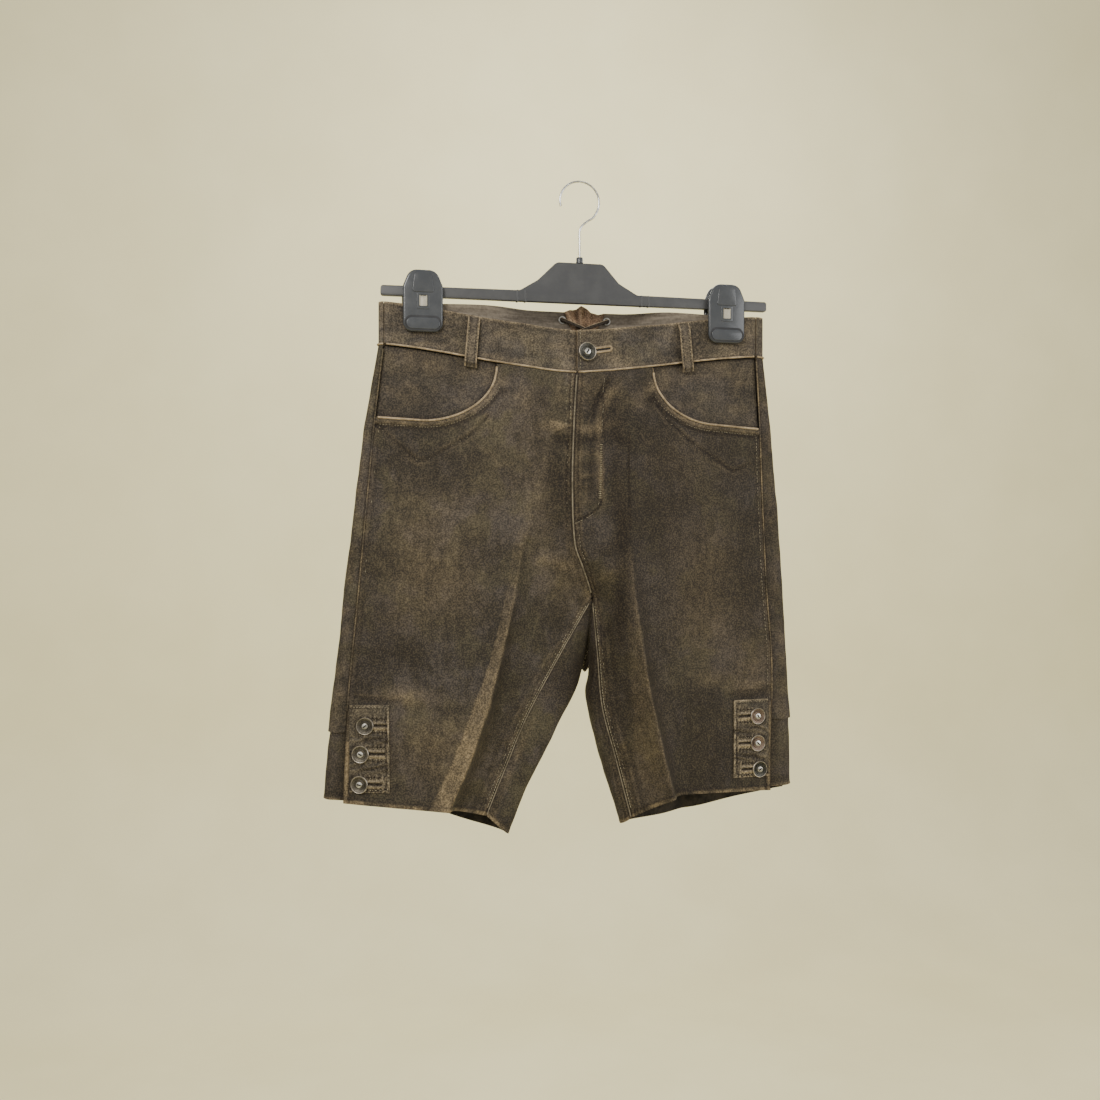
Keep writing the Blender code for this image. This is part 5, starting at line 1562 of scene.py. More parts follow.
def loop_spots(face, side, rows, columns):
    skin = SKINS[face, side]
    spots = np.empty((rows, columns, 3))
    for j, share in enumerate(span(-0.5, 0.5, columns)):
        across = abs(share) * LOOP_WIDTH
        lip = 0.4 * bump(across - 5.4, 0.9) - 0.35 * bump(across - 3.7, 0.7)
        first, last = (loop_share(face, side, share, end) for end in (0.0, 1.0))
        for i, along in enumerate(span(0, 1, rows)):
            s = lerp(first, last, along)
            arch = min(ease(along / 0.14), ease((1 - along) / 0.09))
            rise = np.array(LOOP_SEAT[face] + LOOP_ARCH * arch + 1.5 + lip)
            run = LOOP_RUN * along
            if run < BAND_HEIGHT - 1.5:
                spots[i, j] = band_at(face, side, s, 1 - (run + 1.5) / BAND_HEIGHT, rise)
            else:
                spots[i, j] = skin.at(s, (run - BAND_HEIGHT + 1.5) / 465, rise)
    return spots


def build_loop(face, side):
    rows, columns = 56, 15
    spots = loop_spots(face, side, rows, columns)
    across, along = np.meshgrid(np.abs(span(-0.5, 0.5, columns)) * LOOP_WIDTH, span(0, 1, rows))
    worn = 0.12 + 0.8 * bump(across - 5.6, 0.8) + 0.22 * bump(along - 0.6, 0.25) * (across < 3)
    # painted shade in the grooves beside the lips and where the loop meets the panel at its foot
    grime = 0.65 * bump(across - 3.9, 0.8) + 0.35 * bump(along - 0.93, 0.03)
    piece = leather_sheet(f"loop_{face}_{side}", spots, worn, grime, thick=1.5,
                          turn=-1 if face == "front" else 1, looks=(BAND_LOOK, INSIDE_LOOK, EDGE_LOOK))
    return declare_sheet(piece, f"belt_loop_{face}_{side}", spots)


for face in LOOPS:
    for side in SIDES:
        build_loop(face, side)
print("belt loops:", sum(len(row) for row in LOOPS.values()))

# %% [markdown]
# ## Vent plackets
#
# A patch on each front carries three buttonholes. Each hole is a slit with two rolled lips, set in a
# stitched rectangle, and the leather between the rectangles puckers. The slits are deep troughs with
# painted shade in them, where the leather has closed over them again. The puckers get painted highlights
# on their crests and painted shade in their hollows, and there is painted shade beside each button.

# %% Plackets
PATCH = 1.2
PATCH_LIFT = PATCH + SEAM_GAP
PATCH_WIDE, PATCH_HIGH = 40, 86
Vent = namedtuple("Vent", "patch_x patch_edge_x top bottom")
VENT = {"right": Vent(-199, -238, 409, 496), "left": Vent(165, 206, 414, 497)}
LegButton = namedtuple("LegButton", "x drop end_x")
LEG_BUTTONS = {
    "right": rows_of(LegButton, (-222.5, 430, -202), (-227, 458, -204), (-228, 488, -207)),
    "left": rows_of(LegButton, (192.5, 432, 171), (192.5, 461, 171), (195, 489, 175)),
}


def patch_map(side):
    """The placket's own grid: u and v on the panel at shares across and down the patch."""
    skin, vent = SKINS["front", side], VENT[side]
    drops, edges = span(vent.top, vent.bottom, 7), span(vent.patch_edge_x, vent.patch_x, 6)
    return np.array([[skin.locate(x, drop) for x in edges] for drop in drops])


def build_placket(side):
    skin, vent = SKINS["front", side], VENT[side]
    rows, columns = 150, 76
    places = spread(patch_map(side), rows, columns)
    u, v = places[..., 0], places[..., 1]
    x, drop = skin.read(skin.x, u, v), skin.read(skin.drop, u, v)
    ripple = skin.read(mottled(skin, 5, 4.4), u, v)
    lift = PATCH_LIFT + 0.5 * ripple
    worn, grime = 0.12 + 0.25 * ripple, np.full(u.shape, 0.16)
    tan = 0.7 if side == "right" else 1.0
    for button in LEG_BUTTONS[side]:
        reach = abs(button.end_x - button.x)
        along = (x - button.x) * -SIDES[side]
        away = drop - button.drop + 0.5 + 0.5 * ripple
        inside = ease((along - 4) / 3) * ease((reach + 1.5 - along) / 1.5)
        rolls = bump(away - 2.3, 1.3) + 0.8 * bump(away + 2.3, 1.3)
        lift += inside * (1.4 * rolls - 1.0 * bump(away, 0.9))
        # lips pale as wear and painted highlight; painted shade in the slit, and a dark line at the stitched
        # frame
        worn += inside * (tan * bump(away - 3.2, 1.8) + 0.6 * tan * bump(away + 3.0, 1.4))
        grime += inside * (1.3 * bump(away, 0.9) + 0.7 * bump(np.abs(away) - 6.4, 1.0))
        pucker = np.sin(along * 1.5 + 4 * ripple) * bump(np.abs(away) - 6.4, 2.6) * ease((along + 2) / 4)
        lift += 0.45 * pucker
        # pucker crests get a painted highlight, and their hollows painted shade
        worn += 0.26 * np.clip(pucker, 0, 1)
        grime += 0.5 * np.clip(-pucker, 0, 1)
        bar = bump(along - reach - 2.2, 1.2) * ease((8.0 - np.abs(away)) / 2)
        lift += 0.6 * bar
        worn += 0.4 * tan * bar
        between_rows = away - 14.3
        wave = np.sin(along * 0.25 + drop * 0.8 + 5 * ripple) * bump(between_rows, 4.5)
        lift += 0.7 * wave
        # the waves between rows likewise, with painted shade along the hollow between the rows
        worn += 0.16 * np.clip(wave, 0, 1)
        grime += 0.4 * bump(between_rows, 4.0) * ease((along + 6) / 6) + 0.35 * np.clip(-wave, 0, 1)
        # painted shade just outside each button's outer edge
        grime += 0.5 * ease((-along - 1) / 4) * bump(np.hypot(along, away) - 9.6, 1.6)
    across, down = np.meshgrid(span(0, 1, columns) * PATCH_WIDE, span(0, 1, rows) * PATCH_HIGH)
    edge = np.minimum(np.minimum(down, PATCH_HIGH - down), PATCH_WIDE - across)
    lift = PATCH_LIFT + (lift - PATCH_LIFT) * ease(np.minimum(edge, across) / 2)
    rim = 0.26 if side == "right" else 0.75
    worn += rim * bump(edge - 0.8, 1.5) * (0.7 + ripple)
    grime += 0.6 * bump(edge - 3.2, 0.9)
    spots = skin.at(u, v, lift)
    piece = leather_sheet(f"placket_{side}", spots, np.clip(worn, 0, 1), np.clip(grime, 0, 1), thick=PATCH,
                          turn=skin.turn, looks=(PLACKET_LOOK, INSIDE_LOOK, PLACKET_LOOK), bevel=0.3)
    return declare_sheet(piece, f"vent_placket_{side}", spots)


for side in SIDES:
    build_placket(side)
print("buttonholes on the legs:", sum(len(b) for b in LEG_BUTTONS.values()))

# %% [markdown]
# ## Stitches
#
# Rows of light waxed thread hold everything. One stitch is a small round-ended bar, and a row of them
# follows a line at an even pitch, with small changes from stitch to stitch. Painted dashes would not catch
# the light.

# %% One stitch and a row of them
bpy.ops.mesh.primitive_uv_sphere_add(segments=6, ring_count=4, radius=0.5)
pattern = bpy.context.object
PATTERN_POINTS = np.array([v.co for v in pattern.data.vertices])
PATTERN_FACES = [tuple(p.vertices) for p in pattern.data.polygons]
bpy.data.objects.remove(pattern, do_unlink=True)
STITCHES = []


def sew(path, normals, pitch=3.7, length=2.7, width=0.62, seed=0.0, skip=0.0):
    """Adds a row of stitches along a path of points in metres."""
    path, normals = np.asarray(path), np.asarray(normals)
    steps = np.linalg.norm(np.diff(path, axis=0), axis=1)
    reach = np.concatenate([[0], steps.cumsum()])
    count = max(int(reach[-1] / (pitch * MM)), 1)
    for k in range(count):
        shift = 0.25 * noise.noise(Vector((k * 1.7, seed, 0.5)))
        gone = noise.noise(Vector((k * 0.9, seed, 9.5))) * 0.5 + 0.5
        if gone < skip:
            continue
        at = reach[-1] * (k + 0.5 + shift) / count
        places = ((at, path), (at + 0.0005, path), (at - 0.0005, path), (at, normals))
        spot, ahead, behind, up = (np.array([np.interp(x, reach, column) for column in table.T])
                                   for x, table in places)
        run = unit(ahead - behind)
        up = unit(up - run * (up @ run))
        side = np.cross(run, up)
        long = length * (1 + 0.25 * noise.noise(Vector((k * 2.3, seed, 4.1))))
        axes = np.stack([run * long, side * width, up * width * 0.8])
        STITCHES.append(spot + (PATTERN_POINTS @ axes) * MM)


def panel_row(face, side, u, v, lift=0.25, **settings):
    sew(*seam_path(face, side, u, v, lift), **settings)


def drawn_row(face, side, points, lift=0.25, **settings):
    """A row through points given by x and drop."""
    places = zip(*[SKINS[face, side].locate(*point) for point in points])
    t, fine = np.arange(len(points)), span(0, len(points) - 1, 12 * len(points))
    u, v = (np.interp(fine, t, column) for column in places)
    panel_row(face, side, u, v, lift, **settings)


def inset_row(face, side, distance, v, lift=0.1, middle=True, **settings):
    """A row at a distance in mm from the middle seam, or from the side seam, at each v."""
    skin = SKINS[face, side]
    rows = np.clip(np.asarray(v) * (ROWS - 1), 0, ROWS - 1).astype(int)
    if middle:
        u = [np.interp(distance, skin.from_middle[r][::-1], U_LINE[::-1]) for r in rows]
    else:
        u = [np.interp(distance, skin.from_side[r], U_LINE) for r in rows]
    panel_row(face, side, u, v, lift, **settings)


print("one stitch has", len(PATTERN_FACES), "faces")

# %% [markdown]
# ## Rows on the legs
#
# Two rows hold each inseam, one each side seam, mouth, pocket bag and seat seam. The fly has a curved row,
# crossed by a ladder of short stitches where it is barred. Old thread lies deep in the leather and has come
# away here and there, so a row has its own share of stitches that are skipped.

# %% Rows on the legs
THIN = 0.35
for side in SIDES:
    right = side == "right"
    seed = 3.0 if right else 8.0
    front = SKINS["front", side]
    u = mouth_end(front, MOUTH_STITCH) * np.sin(span(0.03, math.pi / 2 - 0.02, 120))
    v = mouth_line(front, u, MOUTH_STITCH)
    panel_row("front", side, u, v, 0.1, seed=seed, pitch=3.0, length=2.0, width=THIN, skip=0.3)
    v = span(V_CROTCH + 0.015, 0.985, 160)
    inset_row("front", side, 2.6, v, 0.4, seed=seed + 1, pitch=3.0, length=3.0, width=0.6)
    inset_row("front", side, TOPSTITCH, v, seed=seed + 2, width=THIN, skip=0.45)
    v = span(0.17, V_VENT + 0.02, 200)
    inset_row("front", side, 5.0, v, middle=False, seed=seed + 3, width=THIN, skip=0.75 if right else 0.35)
    v = span(0.02, V_CROTCH - 0.03, 200)
    inset_row("back", side, TOPSTITCH, v, 0.25, seed=seed + 4, pitch=3.9)
    drawn_row("front", side, BAG_SEAMS[side], 0.0, seed=seed + 5, pitch=4.4, length=1.6, width=0.4, skip=0.62)

J_STITCH = [(20, 76), (18, 100), (16.5, 120), (15, 140), (14, 182), (13, 204), (9, 214), (2, 220), (-6, 224),
            (-13.0, 227)]
LADDER = [(15, 145), (14, 182), (13.2, 202)]
drawn_row("front", "left", J_STITCH, 0.1, seed=21, pitch=3.2, width=THIN, skip=0.45)
drawn_row("front", "left", LADDER, 0.1, seed=26, pitch=2.2, length=0.6, width=3.4, skip=0.12)
v = span(0.005, 0.165, 60)
inset_row("front", "right", 4.6, v, seed=22, width=0.4, skip=0.3)
inset_row("front", "right", 9.6, v, seed=23, width=THIN, skip=0.5)
v = span(0.165, V_CROTCH - 0.06, 100)
inset_row("front", "right", 5.6, v, seed=24, skip=0.66, length=2.0, width=THIN)
v = span(0.4, V_CROTCH - 0.04, 60)
inset_row("front", "left", 5.6, v, seed=25, skip=0.45, length=2.0, width=THIN)
print("stitches so far:", len(STITCHES))

# %% [markdown]
# ## Rows on the small pieces
#
# The band, the loops and the plackets are sewn too. Each buttonhole is framed by three sides of a
# rectangle, and the placket by three of its own. All stitches become one mesh in the end, because thousands
# of separate objects would be slow.

# %% Rows on the small pieces
def band_row(face, side, s, h, lift=0.25, **settings):
    s, h = pair(s, h)
    sew(band_at(face, side, s, h, lift), seam_path(face, side, s, 0.0, lift)[1], **settings)


band_row("front", "left", band_share("front", "left", -6.5), span(0.05, 0.95, 40), seed=31, width=0.4)
for side in SIDES:
    band_row("back", side, 1 - 4.5 / 185, span(0.06, 0.94, 40), seed=33, pitch=4.0)
along = span(0.12, 0.76, 40)
h = 1 - (LOOP_RUN * along + 1.5) / BAND_HEIGHT
for face in LOOPS:
    rise = LOOP_SEAT[face] + LOOP_ARCH + 1.4
    for side in SIDES:
        for share in (-0.31, 0.31):
            s = lerp(loop_share(face, side, share, 0.0), loop_share(face, side, share, 1.0), along)
            band_row(face, side, s, h, rise, seed=40 + share, pitch=3.2, length=1.8, width=0.4)


def framed(side, near, far, top, low, **settings):
    """Stitches on three sides of a rectangle on the placket, which is open at its near end."""
    box = [(near, top), (far, top), (far, low), (near, low)]
    for a, b in zip(box, box[1:]):
        drawn_row("front", side, [a, b], PATCH_LIFT + 0.15, width=0.4, **settings)


for side in SIDES:
    out = -SIDES[side]
    for number, button in enumerate(LEG_BUTTONS[side]):
        reach = abs(button.end_x - button.x)
        framed(side, button.x + out * 4, button.x + out * reach * 1.05, button.drop - 6.3,
               button.drop + 5.4, seed=50 + number, pitch=2.6, length=1.6, skip=0.35)
    vent = VENT[side]
    framed(side, vent.patch_edge_x + out * 2.6, vent.patch_x + out * -2.2, vent.top + 2.6,
           vent.bottom - 2.4, seed=61, pitch=3.2, length=2.0, skip=0.4)


def build_stitches():
    points = np.concatenate(STITCHES)
    count = len(PATTERN_POINTS)
    faces = [tuple(i + k * count for i in face) for k in range(len(STITCHES)) for face in PATTERN_FACES]
    mesh = bpy.data.meshes.new("stitches")
    mesh.from_pydata(points.tolist(), [], faces)
    mesh.materials.append(THREAD_LOOK)
    mesh.shade_smooth()
    obj = bpy.data.objects.new("stitches", mesh)
    bpy.context.scene.collection.objects.link(obj)
    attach(obj, "root")
    return obj


stitches = build_stitches()
print("stitches:", len(STITCHES), "faces:", len(stitches.data.polygons))

# %% [markdown]
# ## Buttons and eyelets
#
# These are turned shapes: a profile spun round an axis. A button has a neck through the hole, a dished dark
# face, a bright rolled rim and a small boss with a slot, whose dark block is painted shade. The slots stand
# at different angles, since nobody lines them up.

# %% Turned pieces
def turned(name, profile, look, steps=40):
    """A profile of (radius, height) points in mm, spun round Z."""
    bpy.ops.mesh.primitive_plane_add(size=0.001)
    obj = bpy.context.object
    obj.name = obj.data.name = name
    edit_all()
    bpy.ops.mesh.merge(type="CENTER")
    bpy.ops.transform.translate(value=(profile[0][0] * MM, 0, profile[0][1] * MM))
    for (r0, h0), (r1, h1) in zip(profile, profile[1:]):
        step = ((r1 - r0) * MM, 0, (h1 - h0) * MM)
        bpy.ops.mesh.extrude_region_move(TRANSFORM_OT_translate={"value": step})
    bpy.ops.mesh.select_all(action="SELECT")
    bpy.ops.mesh.spin(steps=steps, angle=2 * math.pi, center=(0, 0, 0), axis=(0, 0, 1))
    bpy.ops.mesh.select_all(action="SELECT")
    bpy.ops.mesh.remove_doubles(threshold=0.00001)
    close_edit()
    obj.data.materials.append(look)
    bpy.ops.object.shade_smooth_by_angle(angle=math.radians(35))
    return obj


def stand(obj, centre, axis, spin_degrees=0.0):
    """Puts a piece with its Z along an axis, and leaves it at the origin with no turn of its own."""
    turn = Vector(axis).to_track_quat("Z", "Y").to_matrix().to_4x4()
    place = Matrix.Translation(Vector(centre)) @ turn @ Matrix.Rotation(math.radians(spin_degrees), 4, "Z")
    obj.data.transform(place)
    return obj


def join(pieces, name):
    bpy.ops.object.select_all(action="DESELECT")
    for piece in pieces:
        piece.select_set(True)
    bpy.context.view_layer.objects.active = pieces[0]
    bpy.ops.object.join()
    whole = bpy.context.object
    whole.name = whole.data.name = name
    return whole


def make_button(name, radius, foot, head, spin, face_look):
    """A button standing on Z: its neck's foot and its head's underside are heights in mm."""
    k = radius / 8.8
    neck = [(0, foot), (2.2, foot), (2.2, head)]
    face = [(7.2, 0), (8.2, 1.3), (7.6, 1.7), (6.2, 1.5), (5.7, 1.15), (4.4, 1.05), (0, 1.0)]
    rim = [(7.4, 0.1), (8.4, 0.3), (8.8, 0.9), (8.75, 1.6), (8.3, 2.1), (7.9, 1.9), (7.7, 1.2), (7.4, 0.1)]
    ring = [(4.7, 1.0), (5.2, 1.5), (4.8, 1.75), (4.3, 1.5), (4.1, 1.0), (4.7, 1.0)]
    boss = [(0, 0.9), (3.1, 0.9), (3.2, 1.7), (2.8, 2.3), (1.8, 2.5), (0, 2.55)]
    face, rim, ring, boss = ([(r * k, head + h) for r, h in part] for part in (face, rim, ring, boss))
    pieces = [turned("face", neck + face, face_look), turned("rim", rim, RIM_LOOK),
              turned("ring", ring, face_look, 28), turned("boss", boss, NICKEL_LOOK, 24)]
    # the slot is a dark block on the boss: painted shade
    bpy.ops.mesh.primitive_cube_add(size=1, location=(0, 0, (head + 2.45) * MM))
    slot = bpy.context.object
    slot.scale = (4.2 * k * MM, 1.35 * k * MM, 0.7 * MM)
    bpy.ops.object.transform_apply(location=True, rotation=True, scale=True)
    slot.data.materials.append(SLIT_SHADE_LOOK)
    pieces.append(slot)
    whole = join(pieces, name)
    whole.data.transform(Matrix.Rotation(math.radians(spin), 4, "Z"))
    return whole


print("tools for turned pieces:", [tool.__name__ for tool in (turned, stand, join, make_button)])

# %% [markdown]
# ## Buttons in their places
#
# Each button stands on the leather, along the leather's own direction out. Its neck runs through the
# placket to the underlap. The leg's buttons are three faces of one make, from copper to nearly black.

# %% Buttons
BUTTON_SPINS = {"right": (38, -28, -12), "left": (-62, -48, 30)}
BUTTON_FACES = {"right": (BUTTON_LOOK,) * 3, "left": (COPPER_LOOK, COPPER_LOOK, BLACK_LOOK)}
WAIST_BUTTON_X, WAIST_BUTTON_H = 0.8, 0.47

for side in SIDES:
    skin = SKINS["front", side]
    rows = zip(LEG_BUTTONS[side], BUTTON_SPINS[side], BUTTON_FACES[side])
    for number, (button, spin, look) in enumerate(rows, 1):
        u, v = skin.locate(button.x, button.drop)
        foot, head = SEAM_GAP - TUCK, PATCH_LIFT + SEAM_GAP
        piece = make_button(f"button_{side}_{number}", 8.8, foot, head, spin, look)
        stand(piece, skin.at(u, v, 0.0, dressed=False), skin.read(skin.normals, u, v))
        declare(piece, f"leg_button_{side}_{number}")

s = band_share("front", "left", WAIST_BUTTON_X)
centre = band_at("front", "left", s, WAIST_BUTTON_H)
waist_normal = unit(band_at("front", "left", s, WAIST_BUTTON_H, 1.0) - centre)
piece = make_button("button_waist", 9.6, UNDER + SEAM_GAP, SEAM_GAP + 0.9, 58, BLACK_LOOK)
stand(piece, centre, waist_normal)
declare(piece, "waist_button")
print("buttons:", 1 + sum(len(row) for row in LEG_BUTTONS.values()))

# %% [markdown]
# ## The waist's buttonhole
#
# The waistband's hole is bound: a thick rolled lip of tan leather runs round the slit, from under the
# button to its far end. It is a separate bound edge on the real band, so it is a small swept cord here.

# %% Waist buttonhole
def build_waist_hole():
    end = 24.5
    turn = span(0.2, math.pi - 0.2, 12)
    out = np.concatenate([span(8.0, end, 22), end + 2.4 * np.sin(turn), span(end, 8.0, 22)])
    up = np.concatenate([np.full(22, 2.2), 2.2 * np.cos(turn), np.full(22, -2.2)])
    skin = SKINS["front", "left"]

    def on_band(out, up, lift):
        shares = np.array([band_share("front", "left", WAIST_BUTTON_X + x) for x in out])
        heights = WAIST_BUTTON_H + 0.02 + (up + (out - 9) * 0.06) / BAND_HEIGHT
        return band_at("front", "left", shares, heights, lift), skin.read(skin.normals, shares, shares * 0)

    path, normals = on_band(out, up, 0.55)
    lip = sweep("waist_hole_lip", path, WELT_LOOK, flat_section(2.3, 1.6), normals)
    # the slit is a dark strip on the band: painted shade
    inner = span(8, end + 1, 20)
    path, normals = on_band(inner, inner * 0, 0.12)
    slit = sweep("waist_hole_slit_shade", path, SLIT_SHADE_LOOK, flat_section(2.0, 0.3), normals)
    for piece in (lip, slit):
        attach(piece, "root")


build_waist_hole()

# %% [markdown]
# ## Eyelets
#
# Four eyelets carry the lace. Each is a short tube through the band, with a flange rolled over on both
# sides. Its profile is a closed ring, so that it can be spun in one go.

# %% Eyelets
EYELET_HEIGHTS = {"upper": 0.8, "lower": 0.4}
EYELET_INSET = 8.5
LOW, HIGH = -BAND_WALL - 0.6, 0.6
EYELET_RING = [
    (2.4, LOW - 0.3), (3.0, LOW - 0.75), (3.7, LOW - 0.7), (4.3, LOW - 0.2), (3.9, LOW + 0.3),
    (2.9, LOW + 0.3), (2.7, HIGH - 0.3), (3.9, HIGH - 0.3), (4.3, HIGH + 0.2), (3.7, HIGH + 0.7),
    (3.0, HIGH + 0.75), (2.4, HIGH + 0.3), (2.25, 0), (2.4, LOW - 0.3)]


def inset_share(side, h, distance):
    """The s of a back band that lies this many millimetres in from the slit."""
    s = span(0.7, 1.0, 600)
    spots = band_at("back", side, s, h)
    far = np.linalg.norm(spots - spots[-1], axis=1) / MM
    return float(np.interp(distance, far[::-1], s[::-1]))


def eyelet_place(side, height):
    h = EYELET_HEIGHTS[height]
    s = inset_share(side, h, EYELET_INSET)
    centre = band_at("back", side, s, h)
    return centre, unit(band_at("back", side, s, h, 1.0) - centre)


for side in SIDES:
    for height in EYELET_HEIGHTS:
        piece = turned(f"ring_{side}_{height}", EYELET_RING, NICKEL_LOOK, 32)
        stand(piece, *eyelet_place(side, height))
        declare(piece, f"eyelet_{side}_{height}")
print("eyelets:", 2 * len(EYELET_HEIGHTS))

# %% [markdown]
# ## Gusset and lace
#
# Behind the laced slit sits a soft piece of rust-brown suede, gathered into small pleats when the lace is
# drawn. A cloth simulation gives little control over where a pleat falls, so each pleat is a row of a table.

# %% Gusset
GUSSET_LAP = 2.8
# the share across, then how far a gather rises and comes forward, how pale it is, as wear and painted
# highlight, and how shaded it is, as painted shade
GATHERS = [
    (0, 0, 0, 0.1, 0.3), (0.08, 1.8, 0.9, 0.7, 0), (0.14, 2.8, 0.9, 0.3, 0), (0.22, 2.6, 0.2, 0.2, 0.1),
    (0.28, 3, -0.6, 0, 0.8), (0.35, 5.6, 0.8, 0.3, 0.1), (0.42, 8, 1.4, 0.7, 0), (0.47, 6.6, 0.6, 0.3, 0.1),
    (0.53, 4.5, -0.4, 0, 0.5), (0.65, 0.6, 1, 0.15, 0.3), (0.82, -1.6, 0.2, 0.05, 0.5), (1, 0, 0, 0, 0.6)]


def build_gusset():
    rows, columns = 44, 72
    heights, shares = span(-0.06, 1.0, rows), span(0, 1, columns)
    places, *columns_of = zip(*GATHERS)
    rise, push, pale, dark = (np.interp(shares, places, column) for column in columns_of)
    spots = np.empty((rows, columns, 3))
    worn, grime = np.zeros((2, rows, columns))
    for i, h in enumerate(heights):
        level = max(h, 0.0)
        start, end = (band_at("back", side, inset_share(side, level, GUSSET_LAP), level, UNDER)
                      for side in SIDES)
        swell = float(ease(h))
        crumple = 0.35 * np.sin(9 * math.pi * shares + 3 * h) * np.sin(math.pi * shares)
        spots[i] = start + (end - start) * shares[:, None]
        spots[i, :, 2] += min(h, 0) * BAND_HEIGHT * MM
        spots[i, :, 1] += (push + crumple) * swell * MM
        spots[i, :, 2] += rise * swell * MM
        # painted shade in the troughs and a darker band across the middle; pale crests of wear and painted
        # highlight
        grime[i] = 0.7 * dark * (0.4 + 0.6 * swell) + 0.5 * bump(h - 0.55, 0.12)
        worn[i] = pale * swell + 0.45 * bump((1 - h) * BAND_HEIGHT, 1.3)
    piece = leather_sheet("gusset", spots, worn, grime, thick=1.2, turn=-1, bevel=0.3,
                          looks=(GUSSET_PAINTED_LIGHT_LOOK,) * 3)
    return declare_sheet(piece, "back_gusset", spots)


gusset = build_gusset()
print("gusset", [round(x * 1000) for x in gusset.dimensions], "mm")

# %% [markdown]
# ## Lace
#
# The lace is a flat thong. Inside it crosses from an upper eyelet to the lower one on the other side, and
# one run passes over the other. Outside it runs straight across. Each run is a smooth line through a few
# points, with a pale cut edge along its top.

# %% Lace
def curve_through(points, count):
    """A smooth run of points through a few given ones."""
    points = [np.asarray(p, float) for p in points]
    run, last = [], len(points) - 1
    for k in range(count):
        x = k / (count - 1) * last
        i = min(int(x), last - 1)
        t = x - i
        p0, p1 = points[max(i - 1, 0)], points[i]
        p2, p3 = points[i + 1], points[min(i + 2, last)]
        run.append(0.5 * (2 * p1 + (p2 - p0) * t + (2 * p0 - 5 * p1 + 4 * p2 - p3) * t * t
                          + (3 * p1 - p0 - 3 * p2 + p3) * t ** 3))
    return np.array(run)


def thong(name, node, points, count, out):
    """A dark flat thong with a pale cut edge along its top."""
    path = curve_through(points, count)
    out = np.tile(out, (len(path), 1))
    flat = sweep(name, path, THONG_LOOK, flat_section(3.8, 1.6), out)
    along_top = path[3:-3] + np.array([0, 0, 1.75]) * MM
    edge = sweep(name + "_edge", along_top, WELT_LOOK, round_section(0.42, 6), out[3:-3])
    return declare(join([flat, edge], name), node)


def run_between(start, start_out, end, end_out, steps, bulge):
    """Points from one eyelet to another: some way along each eyelet's axis, and over the middle."""
    points = [start + start_out * d * MM for d in steps]
    points.append((start + end) / 2 + np.array([0, bulge, 0]) * MM)
    return points + [end + end_out * d * MM for d in steps[::-1]]


def build_lace():
    places = {(side, height): eyelet_place(side, height) for side in SIDES for height in EYELET_HEIGHTS}
    inside, outside = (-1.4, -3.4, -5.4), (-0.4, 1.4, 3.0)
    for side, other, bulge in (("right", "left", -8.4), ("left", "right", -11.4)):
        points = run_between(*places[side, "upper"], *places[other, "lower"], inside, bulge)
        thong(f"thong_inside_{side}", f"lace_inside_{side}", points, 60, (0.0, -1.0, 0.35))
    for height in EYELET_HEIGHTS:
        points = run_between(*places["right", height], *places["left", height], outside, 4.2)
        thong(f"thong_outside_{height}", f"lace_outside_{height}", points, 50, (0.0, 1.0, 0.2))
    return len(places)


print("the lace passes through", build_lace(), "eyelets")

# %% [markdown]
# ## Hanger
#
# The hanger is a moulded bar with a raised middle, a socket for the hook, and small collars that stop the
# clips. Its outline is laid on a filled disc of points, the disc is drawn out to the bar's depth, and a
# bevel rounds the edges as a mould does.

# %% Plates
BAR_HALF = 207.0
BAR_LOW, BAR_HIGH = 4.0, 15.5
BAR_THICK = 6.0
HUMP = 46.5


def above(height):
    return WAIST_Z + height


def rounded(corners, steps=6):
    """A closed outline of (x, y, radius) corners with its corners turned into arcs."""
    outline = []
    count = len(corners)
    for i, (x, y, radius) in enumerate(corners):
        here = Vector((x, y))
        to_last = (Vector(corners[i - 1][:2]) - here).normalized()
        to_next = (Vector(corners[(i + 1) % count][:2]) - here).normalized()
        half = to_last.angle(to_next) / 2
        reach = radius / math.tan(half)
        middle = here + (to_last + to_next).normalized() * (radius / math.sin(half))
        start, end = here + to_last * reach - middle, here + to_next * reach - middle
        for k in range(steps + 1):
            outline.append(tuple(middle + start.lerp(end, k / steps).normalized() * radius))
    return outline


def box_corners(x, half_width, low, high, radius):
    return [(x - half_width, low, radius), (x + half_width, low, radius),
            (x + half_width, high, radius), (x - half_width, high, radius)]


def plate(name, outline, near_y, far_y, look, edge, segments=3):
    """A moulded plate: an outline in mm, from near_y to far_y, with rounded edges."""
    bpy.ops.mesh.primitive_circle_add(vertices=len(outline), radius=1, fill_type="NGON")
    obj = bpy.context.object
    obj.name = obj.data.name = name
    for vertex, (a, b) in zip(obj.data.vertices, outline):
        vertex.co = (a * MM, near_y * MM, b * MM)
    edit_all()
    bpy.ops.mesh.extrude_region_move(TRANSFORM_OT_translate={"value": (0, (far_y - near_y) * MM, 0)})
    bpy.ops.mesh.select_all(action="SELECT")
    close_edit()
    obj.data.materials.append(look)
    if edge:
        apply_modifier(obj, "BEVEL", width=edge * MM, segments=segments, limit_method="ANGLE",
                       angle_limit=math.radians(50))
    bpy.ops.object.shade_smooth_by_angle(angle=math.radians(40))
    return obj


BAR_CORNERS = [(-BAR_HALF, BAR_LOW, 2.5), (BAR_HALF, BAR_LOW, 2.5), (BAR_HALF, BAR_HIGH - 1, 2.5),
               (62, BAR_HIGH, 8), (42, 27, 10), (25, HUMP, 8), (-25, HUMP, 8), (-45, 27, 10),
               (-64, BAR_HIGH, 8), (-BAR_HALF, BAR_HIGH - 1, 2.5)]


